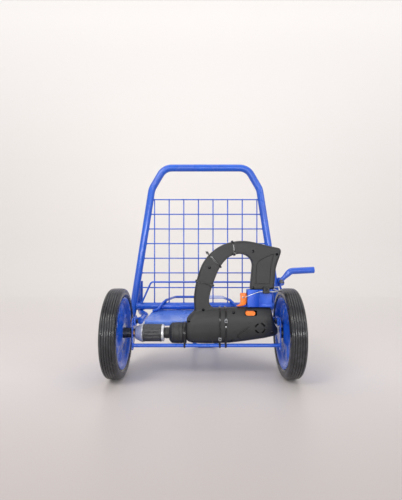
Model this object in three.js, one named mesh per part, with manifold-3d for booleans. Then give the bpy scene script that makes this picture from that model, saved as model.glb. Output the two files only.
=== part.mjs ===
// Two-wheeled barrow cart with a strapped-on drill drive, in millimetres.
// X runs to the right seen from the front, Y to the rear and Z up.
// The drill's chuck grips the left wheel's shaft, and a side lever pulls its trigger by a cable.
import * as THREE from "three";
import { mergeVertices } from "three/addons/utils/BufferGeometryUtils.js";
import Module from "manifold-3d";

const wasm = await Module();
wasm.setup();

// ---- Driving dimensions ----
const GAP = 0.3; // clearance between pieces that touch
const RUN = 0.6; // radial clearance of a turning fit

// Wheels
const WHEEL_RADIUS = 127; // a 10 inch wheel
const TYRE_WIDTH = 44.5; // 1.75 inches
const RIM_RADIUS = 101;
const DISC_SHEET = 2;
const HUB_RADIUS = 14.5;
const SHAFT_RADIUS = 8;

// Frame
const TUBE = 24; // handle loop and cross tube, diameter
const RAIL_TUBE = 19;
const PLATE_CENTRE = 207.5; // axle plates, half the distance between them
const LEFT_WHEEL_OUT = 46.5; // from the left plate to its wheel's centre plane
const RIGHT_WHEEL_OUT = 27.5;
const RAIL_LEG_OUT = 20.5; // from a plate to its rail's upright leg
const LOOP_FOOT_OUT = 47.3; // and to the foot of the handle's leg
const LEFT_WHEEL_CENTRE = -PLATE_CENTRE - LEFT_WHEEL_OUT;
const RIGHT_WHEEL_CENTRE = PLATE_CENTRE + RIGHT_WHEEL_OUT;
const PLATE_SHEET = 3;
const PANEL_Y = 197; // plane of the handle loop behind the axle
const LOOP_TOP = 649; // centreline of the top bar
const LOOP_TOP_HALF = 141.6;
const LOOP_SHOULDER_HALF = 184;
const LOOP_SHOULDER_Z = 576;
const LOOP_FOOT_HALF = PLATE_CENTRE + LOOP_FOOT_OUT;
const LOOP_FOOT_Z = 123;
const CROSS_TUBE_Z = 177.6;
const RAIL_TOP_Z = 262;
const RAIL_LEG_HALF = PLATE_CENTRE + RAIL_LEG_OUT;
const MESH_PITCH = 50;
const MESH_WIRE = 4;
const MESH_COLUMNS = 8;
const MESH_ROWS = 7;
const TRAY_SHEET = 2;
const TRAY_FRONT_Y = 45;
const TRAY_FRONT_HALF = 184.5;
const TRAY_REAR_HALF = 177;
const TRAY_FRONT_Z = 153.5;
const TRAY_LIP = 15;
const BAR_ROD = 10.4; // lower bar between the axle plates, diameter
const BAR_Y = -20;
const BAR_Z = 95.5;
const CARRIER_ROD = 9;
const GUARD_ROD = 6;
const GUARD_Y = 186;
const STAND_TUBE = 14;
const STAND_HALF = 42;
const STAND_Y = 340;

// Drill
const COLLAR_RADIUS = 29.4;
const SLEEVE_RADIUS = 24.9;
const NOSE_RADIUS = 15.8;
const SPINDLE_RADIUS = 6.5;
const HOUSING_WALL = 3.2;
const MOTOR_RADIUS = 23;
const BODY_DEPTH = 33; // half the body's depth
const HANDLE_DEPTH = 17; // half the D-handle's depth
const GRIP_FOOT_Z = 252;
const BLOCK_LEFT = 115.5;
const BLOCK_RIGHT = 186;
const TRIGGER_TRAVEL = 6.7;
const SLIDER_LENGTH = 27;
const SLIDER_TRAVEL = 5;
const TIE_THICK = 1.6;
const TIE_WIDTH = 4.6;

// Lever
const LEVER_Y = 187;
const LEVER_PIVOT = [253, 263];
const LEVER_BEND = [287.4, 297];
const LEVER_END = [366, 301];
const LEVER_TUBE = 22;
const LEVER_FLAT = 7.6; // half height of the pressed end
const LEVER_FLAT_DEPTH = 8.6; // half depth of the pressed end
const HOOK_ROD = 7;
const HOOK_DROP = 20;
const PIVOT_BOLT_RADIUS = 4;
const BRACKET_SHEET = 3;
const BRACKET_Y = LEVER_Y + 10;

const AXLE_Z = WHEEL_RADIUS;
const RAIL_WRAP = TUBE / 2 + RAIL_TUBE / 2 + GAP + 1; // the rail's bend round the cross tube
const RAIL_Z = CROSS_TUBE_Z - RAIL_WRAP;
const PLATE_INNER = PLATE_CENTRE - PLATE_SHEET / 2;
const PLATE_OUTER = PLATE_CENTRE + PLATE_SHEET / 2;
const TAB_SHEET = 5;
const TAB_BOLT_Z = 160;
const TAB_BOLT_RADIUS = 4;

// ---- Finishes ----
const steelBlue = { color: 0x1e55d7, roughness: 0.3, metalness: 0.1 };
const rubber = { color: 0x4a4b4f, roughness: 0.75, metalness: 0 };
const black = { color: 0x202124, roughness: 0.6, metalness: 0 };
const charcoal = { color: 0x46474b, roughness: 0.6, metalness: 0 };
const orange = { color: 0xff8a1e, roughness: 0.4, metalness: 0 };
const silver = { color: 0xc8cacc, roughness: 0.3, metalness: 1 };
const darkSteel = { color: 0x55575a, roughness: 0.4, metalness: 0.9 };
const brass = { color: 0xb58b45, roughness: 0.35, metalness: 1 };
const blueCap = { color: 0x3b74e6, roughness: 0.35, metalness: 0 };

// ---- Solids ----
const cart = new THREE.Group();

function add(name, geometry, finish) {
  const mesh = new THREE.Mesh(geometry, new THREE.MeshStandardMaterial(finish));
  mesh.name = name;
  cart.add(mesh);
}

function toSolid(geometry) {
  const bare = geometry.index ? geometry.toNonIndexed() : geometry.clone();
  bare.deleteAttribute("normal");
  bare.deleteAttribute("uv");
  const merged = mergeVertices(bare, 1e-3);
  return new wasm.Manifold(new wasm.Mesh({
    numProp: 3,
    vertProperties: merged.attributes.position.array,
    triVerts: new Uint32Array(merged.index.array),
  }));
}

function toGeometry(solid) {
  const mesh = solid.getMesh();
  const geometry = new THREE.BufferGeometry();
  geometry.setAttribute("position", new THREE.BufferAttribute(mesh.vertProperties, 3));
  geometry.setIndex(new THREE.BufferAttribute(mesh.triVerts, 1));
  return geometry;
}

function union(first, ...others) {
  return toGeometry(others.reduce((sum, item) => sum.add(toSolid(item)), toSolid(first)));
}

function subtract(first, ...others) {
  return toGeometry(others.reduce((rest, item) => rest.subtract(toSolid(item)), toSolid(first)));
}

function intersect(first, second) {
  return toGeometry(toSolid(first).intersect(toSolid(second)));
}

// A box from its low and high corners.
function box(low, high) {
  const size = high.map((value, i) => value - low[i]);
  return new THREE.BoxGeometry(...size).translate(...low.map((value, i) => value + size[i] / 2));
}

// A profile of [x, radius] points turned about the X axis, closed on the axis or on itself.
// A face turned this way looks outwards when the profile runs towards +X on its outer side.
function turned(profile, segments, centre = [0, 0, 0]) {
  const doubled = profile.reduce((sum, [x, radius], i) => {
    const [nextX, nextRadius] = profile[(i + 1) % profile.length];
    return sum + x * nextRadius - nextX * radius;
  }, 0);
  const ordered = doubled > 0 ? [...profile].reverse() : profile;
  const points = ordered.map(([x, radius]) => new THREE.Vector2(radius, x));
  if (ordered[0][1] > 0) points.push(points[0].clone());
  const geometry = new THREE.LatheGeometry(points, segments);
  return geometry.rotateZ(-Math.PI / 2).translate(...centre);
}

// A straight rod between two points.
function rod(start, end, radius, sides = 12) {
  const a = new THREE.Vector3(...start);
  const b = new THREE.Vector3(...end);
  const geometry = new THREE.CylinderGeometry(radius, radius, a.distanceTo(b), sides);
  const turn = new THREE.Quaternion().setFromUnitVectors(
    new THREE.Vector3(0, 1, 0), b.clone().sub(a).normalize());
  return geometry.applyQuaternion(turn).translate(...a.add(b).multiplyScalar(0.5).toArray());
}

// A path of straight runs joined by round bends: a station at each bend step and each end.
class BentPath extends THREE.Curve {
  constructor(points, bends, steps) {
    super();
    this.stations = [];
    this.tangents = [];
    const corners = points.map((point) => new THREE.Vector3(...point));
    const last = corners.length - 1;
    this.push(corners[0], corners[1].clone().sub(corners[0]).normalize());
    for (let i = 1; i < last; i += 1) {
      const from = corners[i].clone().sub(corners[i - 1]).normalize();
      const to = corners[i + 1].clone().sub(corners[i]).normalize();
      this.bend(corners[i], from, to, Array.isArray(bends) ? bends[i - 1] : bends, steps);
    }
    this.push(corners[last], corners[last].clone().sub(corners[last - 1]).normalize());
  }

  push(point, tangent) {
    this.stations.push(point.clone());
    this.tangents.push(tangent.clone());
  }

  // A round bend of the given radius that touches both runs.
  bend(corner, from, to, radius, steps) {
    const turn = from.angleTo(to);
    const side = to.clone().sub(from.clone().multiplyScalar(from.dot(to))).normalize();
    const start = corner.clone().addScaledVector(from, -radius * Math.tan(turn / 2));
    for (let i = 0; i <= steps; i += 1) {
      const angle = turn * i / steps;
      const point = start.clone().addScaledVector(from, radius * Math.sin(angle))
        .addScaledVector(side, radius * (1 - Math.cos(angle)));
      const tangent = from.clone().multiplyScalar(Math.cos(angle))
        .addScaledVector(side, Math.sin(angle));
      this.push(point, tangent);
    }
  }

  getPointAt(u) {
    return this.stations[Math.round(u * (this.stations.length - 1))].clone();
  }

  getTangentAt(u) {
    return this.tangents[Math.round(u * (this.stations.length - 1))].clone();
  }
}

// A round bar or tube along straight runs and bends; a bore makes it hollow with open ends.
function bentTube(points, diameter, { bends = 20, sides = 10, steps = 4, bore = 0 } = {}) {
  const path = new BentPath(points, bends, steps);
  const shape = new THREE.Shape(circle(diameter / 2, sides));
  if (bore > 0) shape.holes.push(new THREE.Path(circle(bore / 2, sides)));
  return new THREE.ExtrudeGeometry(shape, { steps: path.stations.length - 1, extrudePath: path });
}

function circle(radius, sides, [cx, cy] = [0, 0]) {
  return Array.from({ length: sides }, (_, i) => {
    const angle = 2 * Math.PI * (i + 0.5) / sides;
    return new THREE.Vector2(cx + radius * Math.cos(angle), cy + radius * Math.sin(angle));
  });
}

// A flat outline of [y, z] points given a thickness along X.
function slabX(outline, x, thickness, holes = []) {
  const shape = new THREE.Shape(outline);
  shape.holes.push(...holes.map((hole) => new THREE.Path(hole)));
  const geometry = new THREE.ExtrudeGeometry(shape, { depth: thickness, bevelEnabled: false });
  const turn = new THREE.Matrix4().makeBasis(
    new THREE.Vector3(0, 1, 0), new THREE.Vector3(0, 0, 1), new THREE.Vector3(1, 0, 0));
  return geometry.applyMatrix4(turn).translate(x, 0, 0);
}

// A flat outline of [x, z] points given a depth along Y, from y to y + thickness.
function slabY(outline, y, thickness, bevel = 0) {
  const shape = new THREE.Shape(outline);
  const geometry = new THREE.ExtrudeGeometry(shape, {
    depth: thickness - 2 * bevel,
    bevelEnabled: bevel > 0,
    bevelThickness: bevel,
    bevelSize: bevel,
    bevelOffset: -bevel,
    bevelSegments: 1,
  });
  return geometry.rotateX(Math.PI / 2).translate(0, y + thickness - bevel, 0);
}

// Rings of equal length joined into one closed skin with flat ends.
function loft(rings) {
  const count = rings[0].length;
  const middle = (ring) => ring.reduce((sum, p) => sum.add(p), new THREE.Vector3())
    .divideScalar(count);
  const points = [...rings.flat(), middle(rings[0]), middle(rings[rings.length - 1])];
  const faces = [];
  for (let i = 0; i < rings.length - 1; i += 1) {
    for (let j = 0; j < count; j += 1) {
      const k = (j + 1) % count;
      const [a, b, c, d] = [i * count + j, i * count + k, (i + 1) * count + k, (i + 1) * count + j];
      faces.push(a, b, c, a, c, d);
    }
  }
  const first = rings.length * count;
  const end = (rings.length - 1) * count;
  for (let j = 0; j < count; j += 1) {
    const k = (j + 1) % count;
    faces.push(first, k, j, first + 1, end + j, end + k);
  }
  const geometry = new THREE.BufferGeometry().setFromPoints(points);
  return geometry.setIndex(faces);
}

// The convex outline round a set of 2-D points, as for a strap pulled tight.
function hull(points) {
  const sorted = [...points].sort((a, b) => a.x - b.x || a.y - b.y);
  const turn = (o, a, b) => (a.x - o.x) * (b.y - o.y) - (a.y - o.y) * (b.x - o.x);
  const half = (list) => {
    const chain = [];
    for (const point of list) {
      while (chain.length > 1 && turn(chain.at(-2), chain.at(-1), point) <= 1e-9) chain.pop();
      chain.push(point);
    }
    chain.pop();
    return chain;
  };
  return [...half(sorted), ...half(sorted.reverse())];
}

// A hexagon bolt along X: shank and head (or nut) on one axis.
function boltX(headX, tipX, [y, z], radius, headWidth, headHeight) {
  const way = Math.sign(tipX - headX);
  const head = rod([headX, y, z], [headX + way * headHeight, y, z], headWidth / 2, 6);
  return union(head, rod([headX + way, y, z], [tipX, y, z], radius, 10));
}

function hexNutX(x, thickness, [y, z], width, bore) {
  const hex = rod([x, y, z], [x + thickness, y, z], width / 2, 6);
  return subtract(hex, rod([x - 1, y, z], [x + thickness + 1, y, z], bore, 12));
}

// ---- Wheels ----
const BEAD = [[10, -13], [16.2, -1.5], [19.3, 2.5]]; // along X, and out from the rim

function tyreProfile() {
  const half = TYRE_WIDTH / 2;
  const shoulder = WHEEL_RADIUS - 2.2;
  const side = [
    ...BEAD.map(([x, out]) => [x, RIM_RADIUS + out]),
    [half, RIM_RADIUS + 11],
    [half - 0.7, WHEEL_RADIUS - 7.5],
    [half - 3.8, shoulder],
    [half - 10, WHEEL_RADIUS],
  ];
  return [...side.map(([x, radius]) => [-x, radius]), ...side.reverse()];
}

// One pressed disc; side is +1 or -1 along X from the wheel's centre plane.
function discProfile(side) {
  const face = [
    [16.4, HUB_RADIUS + RUN],
    [16.4, 27],
    [8.5, 48],
    [7.5, RIM_RADIUS - 21],
    [16.6, RIM_RADIUS - 8.5],
    [17.6, RIM_RADIUS],
  ];
  const back = face.map(([x, radius]) => [x + DISC_SHEET, radius]).reverse();
  const loop = [...face, ...back];
  return loop.map(([x, radius]) => [side * x, radius]);
}

function wheel(prefix, centre) {
  const at = [centre, 0, AXLE_Z];
  add(prefix + "_tyre", turned(tyreProfile(), 36, at), rubber);
  add(prefix + "_disc_right", turned(discProfile(1), 20, at), steelBlue);
  add(prefix + "_disc_left", turned(discProfile(-1), 20, at), steelBlue);
}

const HUB_REACH = 21; // from the wheel's centre plane to the hub's outer end
const NUT_WIDTH = 26;
const NUT_HEIGHT = 8.5;

function driveSide() {
  const hubLeft = LEFT_WHEEL_CENTRE - HUB_REACH;
  const bushFlange = -PLATE_OUTER - GAP;
  wheel("left", LEFT_WHEEL_CENTRE);
  add("left_hub", turned([
    [hubLeft, SHAFT_RADIUS + GAP], [hubLeft, HUB_RADIUS],
    [bushFlange - 4.3, HUB_RADIUS], [bushFlange - 4.3, SHAFT_RADIUS + GAP],
  ], 24, [0, 0, AXLE_Z]), darkSteel);
  add("left_axle_bush", turned([
    [bushFlange - 4, SHAFT_RADIUS + GAP], [bushFlange - 4, 16], [bushFlange, 16],
    [bushFlange, 11], [-PLATE_INNER + 2.5, 11], [-PLATE_INNER + 2.5, SHAFT_RADIUS + GAP],
  ], 20, [0, 0, AXLE_Z]), brass);
  const shaftEnd = hubLeft - 12;
  const shankEnd = -164;
  add("drive_shaft", turned([
    [shaftEnd, 0], [shaftEnd, SHAFT_RADIUS - 1], [shaftEnd + 1, SHAFT_RADIUS],
    [-PLATE_INNER + 4.5, SHAFT_RADIUS], [-PLATE_INNER + 4.5, 5], [shankEnd, 5], [shankEnd, 0],
  ], 16, [0, 0, AXLE_Z]), silver);
  const nut = hexNutX(hubLeft - 0.5 - NUT_HEIGHT, NUT_HEIGHT, [0, AXLE_Z], NUT_WIDTH, SHAFT_RADIUS + GAP);
  add("left_wheel_nut", nut, silver);
}

function idlerSide() {
  const flangeX = PLATE_OUTER + GAP;
  const hubRight = RIGHT_WHEEL_CENTRE + HUB_REACH;
  wheel("right", RIGHT_WHEEL_CENTRE);
  add("right_hub", turned([
    [flangeX + 4.5, SHAFT_RADIUS + RUN], [flangeX + 4.5, HUB_RADIUS],
    [hubRight, HUB_RADIUS], [hubRight, SHAFT_RADIUS + RUN],
  ], 24, [0, 0, AXLE_Z]), darkSteel);
  add("right_stub_axle", turned([
    [flangeX, 0], [flangeX, 16], [flangeX + 4, 16], [flangeX + 4, SHAFT_RADIUS],
    [hubRight + 11, SHAFT_RADIUS], [hubRight + 12, SHAFT_RADIUS - 1], [hubRight + 12, 0],
  ], 16, [0, 0, AXLE_Z]), darkSteel);
  const nut = hexNutX(hubRight + 0.5, NUT_HEIGHT, [0, AXLE_Z], NUT_WIDTH, SHAFT_RADIUS + GAP);
  add("right_wheel_nut", nut, silver);
}

// ---- Frame ----
const LOOP_LEAN = Math.atan2(LOOP_FOOT_HALF - LOOP_SHOULDER_HALF, LOOP_SHOULDER_Z - LOOP_FOOT_Z);

// Half the distance between the uprights' centrelines at a height.
function loopHalfAt(z) {
  return LOOP_SHOULDER_HALF + (LOOP_SHOULDER_Z - z) * Math.tan(LOOP_LEAN);
}

// Half the length of a level bar of the given radius that ends on the uprights.
function spanAt(z, radius) {
  return loopHalfAt(z + radius) - TUBE / 2 / Math.cos(LOOP_LEAN) - GAP;
}

function handleLoop() {
  const side = [[LOOP_FOOT_HALF, LOOP_FOOT_Z], [LOOP_SHOULDER_HALF, LOOP_SHOULDER_Z],
    [LOOP_TOP_HALF, LOOP_TOP]];
  const left = side.map(([x, z]) => [-x, PANEL_Y, z]);
  const right = side.map(([x, z]) => [x, PANEL_Y, z]).reverse();
  const bends = [58, 46, 46, 58];
  add("handle_loop", bentTube([...left, ...right], TUBE, { bends, sides: 12, steps: 5 }), steelBlue);
}

function crossTube() {
  const half = spanAt(CROSS_TUBE_Z, TUBE / 2);
  const shape = rod([-half, PANEL_Y, CROSS_TUBE_Z], [half, PANEL_Y, CROSS_TUBE_Z], TUBE / 2, 16);
  add("rear_cross_tube", shape, steelBlue);
}

// Rail from the axle plate back under the cross tube and up behind the upright.
function baseRail(name, side) {
  const x = PLATE_INNER - RAIL_TUBE / 2 - 1.5;
  const legY = PANEL_Y + RAIL_WRAP + 0.8;
  const tube = bentTube([
    [side * x, 32, RAIL_Z],
    [side * x, 138, RAIL_Z],
    [side * RAIL_LEG_HALF, legY, RAIL_Z],
    [side * RAIL_LEG_HALF, legY, RAIL_TOP_Z],
  ], RAIL_TUBE, { bends: [60, RAIL_WRAP], sides: 10, steps: 4 });
  const inner = PLATE_INNER - GAP;
  const outline = [[-13, 148.5], [42, 148.5], [42, 162.5], [12, 171], [-13, 171]]
    .map((p) => new THREE.Vector2(...p));
  const hole = circle(TAB_BOLT_RADIUS + 0.4, 12, [0, TAB_BOLT_Z]);
  const tab = slabX(outline, side > 0 ? inner - TAB_SHEET : -inner, TAB_SHEET, [hole]);
  add(name, union(tube, tab), steelBlue);
}

function axlePlate(name, side, axleHole) {
  const outline = [[-26, 82], [-12, 82], [4, 100], [30, 122], [45, 146], [45, 165], [40, 171],
    [-20, 171], [-26, 165]].map((p) => new THREE.Vector2(...p));
  const holes = [circle(TAB_BOLT_RADIUS + 0.4, 12, [0, TAB_BOLT_Z])];
  if (axleHole > 0) holes.push(circle(axleHole, 20, [0, AXLE_Z]));
  const x = side > 0 ? PLATE_INNER : -PLATE_OUTER;
  add(name, slabX(outline, x, PLATE_SHEET, holes), steelBlue);
}

function railBolt(prefix, side) {
  const headHeight = 4.5;
  const nutHeight = 6.5;
  const headX = side * (PLATE_INNER - 2 * GAP - TAB_SHEET - headHeight);
  const tipX = side * (PLATE_OUTER + nutHeight + 1.1);
  const at = [0, TAB_BOLT_Z];
  add(prefix + "_rail_bolt", boltX(headX, tipX, at, TAB_BOLT_RADIUS, 13, headHeight), darkSteel);
  const nutX = side > 0 ? PLATE_OUTER + GAP : -PLATE_OUTER - GAP - nutHeight;
  add(prefix + "_rail_nut", hexNutX(nutX, nutHeight, at, 14, TAB_BOLT_RADIUS + GAP),
    side < 0 ? brass : darkSteel);
}

// Welded wire panel: columns rise from the cross tube, rows end at the uprights.
function meshPanel() {
  const foot = CROSS_TUBE_Z + TUBE / 2 + GAP + 0.2;
  const firstRow = CROSS_TUBE_Z + TUBE / 2 + MESH_PITCH + 1;
  const top = firstRow + (MESH_ROWS - 1) * MESH_PITCH;
  const parts = [];
  for (let i = 0; i < MESH_COLUMNS; i += 1) {
    const x = (i - (MESH_COLUMNS - 1) / 2) * MESH_PITCH;
    parts.push(rod([x, PANEL_Y + 1.4, foot], [x, PANEL_Y + 1.4, top + 3], MESH_WIRE / 2, 4));
  }
  for (let i = 0; i < MESH_ROWS; i += 1) {
    const z = firstRow + i * MESH_PITCH;
    const half = spanAt(z, MESH_WIRE / 2);
    parts.push(rod([-half, PANEL_Y - 1.4, z], [half, PANEL_Y - 1.4, z], MESH_WIRE / 2, 4));
  }
  add("mesh_panel", union(...parts), steelBlue);
}

// Sheet tray between the rails, with its front edge bent down and its rear edge under the cross tube.
const TRAY_REAR_Y = PANEL_Y + 3;
const TRAY_REAR_Z = CROSS_TUBE_Z - TUBE / 2 - GAP - 0.3;
const TRAY_SLOPE = Math.atan2(TRAY_REAR_Z - TRAY_FRONT_Z, TRAY_REAR_Y - TRAY_FRONT_Y);

function trayTopAt(y) {
  return TRAY_FRONT_Z + (y - TRAY_FRONT_Y) * Math.tan(TRAY_SLOPE);
}

function trayPlate() {
  const length = (TRAY_REAR_Y - TRAY_FRONT_Y) / Math.cos(TRAY_SLOPE);
  const outline = [[-TRAY_FRONT_HALF, 0], [TRAY_FRONT_HALF, 0], [TRAY_REAR_HALF, length],
    [-TRAY_REAR_HALF, length]].map((p) => new THREE.Vector2(...p));
  const sheet = new THREE.ExtrudeGeometry(new THREE.Shape(outline),
    { depth: TRAY_SHEET, bevelEnabled: false });
  sheet.translate(0, 0, -TRAY_SHEET).rotateX(TRAY_SLOPE).translate(0, TRAY_FRONT_Y, TRAY_FRONT_Z);
  const lip = box([-TRAY_FRONT_HALF, TRAY_FRONT_Y - 0.5, TRAY_FRONT_Z - TRAY_LIP],
    [TRAY_FRONT_HALF, TRAY_FRONT_Y + TRAY_SHEET - 0.5, TRAY_FRONT_Z - 0.2]);
  add("tray_plate", union(sheet, lip), steelBlue);
}

// Rod loop that climbs from the tray over the cross tube and reaches back behind it,
// with a flat sheet laid on its right half.
const CARRIER_SHEET = 2;

function carrierRod() {
  const rise = CARRIER_ROD / 2 + GAP;
  const over = CROSS_TUBE_Z + TUBE / 2 + rise + 1.2;
  const side = [[148, 156, trayTopAt(156) + rise + 0.4], [135, 173.5, trayTopAt(173.5) + rise + 1.5],
    [121, 177, over - 8.5], [109, PANEL_Y, over + 2], [86, 300, over + 2]];
  const middle = -26;
  const left = side.map(([x, y, z]) => [middle - x, y, z]);
  const right = side.map(([x, y, z]) => [middle + x, y, z]).reverse();
  const shape = bentTube([...left, ...right], CARRIER_ROD,
    { bends: [7, 7, 8, 14, 14, 8, 7, 7], sides: 8, steps: 3 });
  const top = over + 2 + CARRIER_ROD / 2 + 0.8;
  const outline = [[-12, PANEL_Y + TUBE / 2 + 1], [middle + 96, PANEL_Y + TUBE / 2 + 1],
    [middle + 82, 298], [-12, 298]].map((p) => new THREE.Vector2(...p));
  const sheet = new THREE.ExtrudeGeometry(new THREE.Shape(outline),
    { depth: CARRIER_SHEET, bevelEnabled: false });
  add("carrier_rod", union(shape, sheet.translate(0, 0, top - CARRIER_SHEET)), steelBlue);
}

function guardRod() {
  const foot = CROSS_TUBE_Z + 10.5;
  const side = [[217, foot], [185, 260]];
  const left = side.map(([x, z]) => [-x, GUARD_Y, z]);
  const right = side.map(([x, z]) => [x, GUARD_Y, z]).reverse();
  add("tank_guard_rod", bentTube([...left, ...right], GUARD_ROD, { bends: 12, sides: 8, steps: 4 }),
    steelBlue);
}

function lowerBar() {
  const half = PLATE_INNER - GAP;
  add("lower_bar", rod([-half, BAR_Y, BAR_Z], [half, BAR_Y, BAR_Z], BAR_ROD / 2, 12), steelBlue);
}

// U-shaped foot that holds the rear of the cart off the ground.
function rearStand() {
  const top = TRAY_REAR_Z - TRAY_SHEET - 12;
  const z = STAND_TUBE / 2;
  const side = [[STAND_HALF, PANEL_Y - 8, top], [STAND_HALF, STAND_Y, z]];
  const left = side.map(([x, y, height]) => [-x, y, height]);
  const right = side.map(([x, y, height]) => [x, y, height]).reverse();
  const tube = bentTube([...left, ...right], STAND_TUBE, { bends: 22, sides: 10, steps: 4 });
  const pad = box([-STAND_HALF - 11, PANEL_Y - 20, top + 3], [STAND_HALF + 11, PANEL_Y + 2, top + 9]);
  add("rear_stand", union(tube, pad), steelBlue);
}

// ---- Drill ----
// Body sections: x, bottom z, top z and half depth.
const BODY = [
  [-56, 108, 168, 29], [-52, 104, 175, 31], [-44, 101, 183, 32.5], [-34, 99.5, 192, 33],
  [0, 98, 199, 33], [64, 99.5, 200.5, 33], [109, 105, 201, 33], [164, 113, 201, 32],
  [182, 117, 200.5, 29], [187, 118, 182, 26], [191, 119.2, 161, 22], [197, 121, 149, 16],
  [203, 126, 141, 8],
];

function sectionAt(x) {
  const k = Math.max(1, BODY.findIndex(([at]) => at >= x));
  const [a, b] = [BODY[k - 1], BODY[k]];
  const share = (x - a[0]) / (b[0] - a[0]);
  return a.map((value, i) => value + (b[i] - value) * share);
}

const BODY_POWER = 2.6;

// A rounded-box section: a superellipse in the YZ plane.
function sectionRing([x, low, high, depth], inset, sides) {
  const middle = (low + high) / 2;
  const half = (high - low) / 2 - inset;
  const round = (value) => Math.sign(value) * Math.abs(value) ** (2 / BODY_POWER);
  return Array.from({ length: sides }, (_, i) => {
    const angle = 2 * Math.PI * i / sides;
    return new THREE.Vector3(x, (depth - inset) * round(Math.cos(angle)),
      middle + half * round(Math.sin(angle)));
  });
}

function bodyLoft(inset, sides = 24) {
  const rows = BODY.map(([x, ...rest], i) => {
    const shift = i === 0 ? inset : i === BODY.length - 1 ? -inset : 0;
    return [x + shift, ...rest];
  });
  return loft(rows.map((row) => sectionRing(row, inset, sides)));
}

// Outline of the D-handle: an arch from the body's front to the upright grip.
function handleOutline() {
  const outline = new THREE.Shape();
  outline.moveTo(-34, 186);
  outline.lineTo(-36, 225);
  outline.bezierCurveTo(-34, 262, -24, 296, -15, 317);
  outline.bezierCurveTo(-3, 344, 32, 390, 103, 390);
  outline.bezierCurveTo(132, 390, 160, 378, 200, 371);
  outline.quadraticCurveTo(213, 368, 212, 357);
  outline.bezierCurveTo(206, 335, 198, 320, 197, 305);
  outline.lineTo(192, GRIP_FOOT_Z);
  outline.lineTo(124, GRIP_FOOT_Z);
  outline.lineTo(130, 318);
  outline.bezierCurveTo(131, 336, 118, 350, 97, 352.5);
  outline.bezierCurveTo(56, 352, 37, 318, 22, 275);
  outline.bezierCurveTo(13, 250, 8, 232, 8, 218);
  outline.quadraticCurveTo(8, 206, 20, 200);
  outline.lineTo(24, 186);
  return outline.extractPoints(5).shape;
}

const GRIP_CAVITY = { low: [134, -12.5, 262], high: [186, 12.5, 344] };
const SWITCH_Z = [206, 244];

function drillHousing() {
  const handle = slabY(handleOutline(), -HANDLE_DEPTH, 2 * HANDLE_DEPTH, 5);
  const shell = subtract(
    union(bodyLoft(0), handle),
    bodyLoft(HOUSING_WALL, 16),
    box(GRIP_CAVITY.low, GRIP_CAVITY.high),
    turned([[-60, 0], [-60, 16], [-50, 16], [-50, 0]], 20, [0, 0, AXLE_Z]),
    sliderSlot(),
  );
  const far = 400;
  const halves = {
    front: box([-far, -far, 0], [far, -GAP / 2, far * 2]),
    back: box([-far, GAP / 2, 0], [far, far, far * 2]),
  };
  for (const [side, half] of Object.entries(halves)) {
    add("drill_housing_" + side, intersect(shell, half), charcoal);
  }
}

const SLIDER_LEFT = 108.5;
const SLIDER_Z = 187;
const SLIDER_HEIGHT = 12;
const SLIDER_FACE_Y = -24.5;

// Slot in the front half for the direction slider, longer than the slider by its travel.
function sliderSlot() {
  return box([SLIDER_LEFT - 0.5, -BODY_DEPTH - 4, SLIDER_Z - SLIDER_HEIGHT / 2 - 0.5],
    [SLIDER_LEFT + SLIDER_LENGTH + SLIDER_TRAVEL + 0.5, -14, SLIDER_Z + SLIDER_HEIGHT / 2 + 0.5]);
}

function directionSlider() {
  const half = SLIDER_HEIGHT / 2;
  const shape = new THREE.Shape();
  shape.moveTo(SLIDER_LEFT + half, SLIDER_Z - half);
  shape.lineTo(SLIDER_LEFT + SLIDER_LENGTH - half, SLIDER_Z - half);
  shape.absarc(SLIDER_LEFT + SLIDER_LENGTH - half, SLIDER_Z, half, -Math.PI / 2, Math.PI / 2);
  shape.lineTo(SLIDER_LEFT + half, SLIDER_Z + half);
  shape.absarc(SLIDER_LEFT + half, SLIDER_Z, half, Math.PI / 2, 1.5 * Math.PI);
  const pill = slabY(shape.extractPoints(4).shape, SLIDER_FACE_Y, 9);
  add("direction_slider", pill, orange);
}

// Motor, gearbox with its nose, and the collar that turns on the nose.
function driveTrain() {
  const at = [0, 0, AXLE_Z];
  add("drill_gearbox", turned([
    [-104.5, 9], [-119.6, 9], [-119.6, NOSE_RADIUS], [-66.5, NOSE_RADIUS], [-66.5, COLLAR_RADIUS],
    [-56.4, COLLAR_RADIUS], [-56.4, 15.5], [-38, 15.5], [-36, MOTOR_RADIUS], [-6, MOTOR_RADIUS],
    [-6, 9],
  ], 20, at), black);
  add("drill_motor", turned([[-5, 0], [-5, MOTOR_RADIUS], [58, MOTOR_RADIUS], [62, 16], [62, 0]], 20, at),
    darkSteel);
  add("torque_collar", turned([
    [-105, NOSE_RADIUS + RUN], [-105, 21], [-97, COLLAR_RADIUS - 0.6], [-76, COLLAR_RADIUS],
    [-67, COLLAR_RADIUS], [-67, NOSE_RADIUS + RUN],
  ], 20, at), charcoal);
}

// Keyless chuck: body with nose and rear ring, ribbed sleeve round it, jaws and spindle inside.
const CHUCK_CORE = 17.5;

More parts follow.
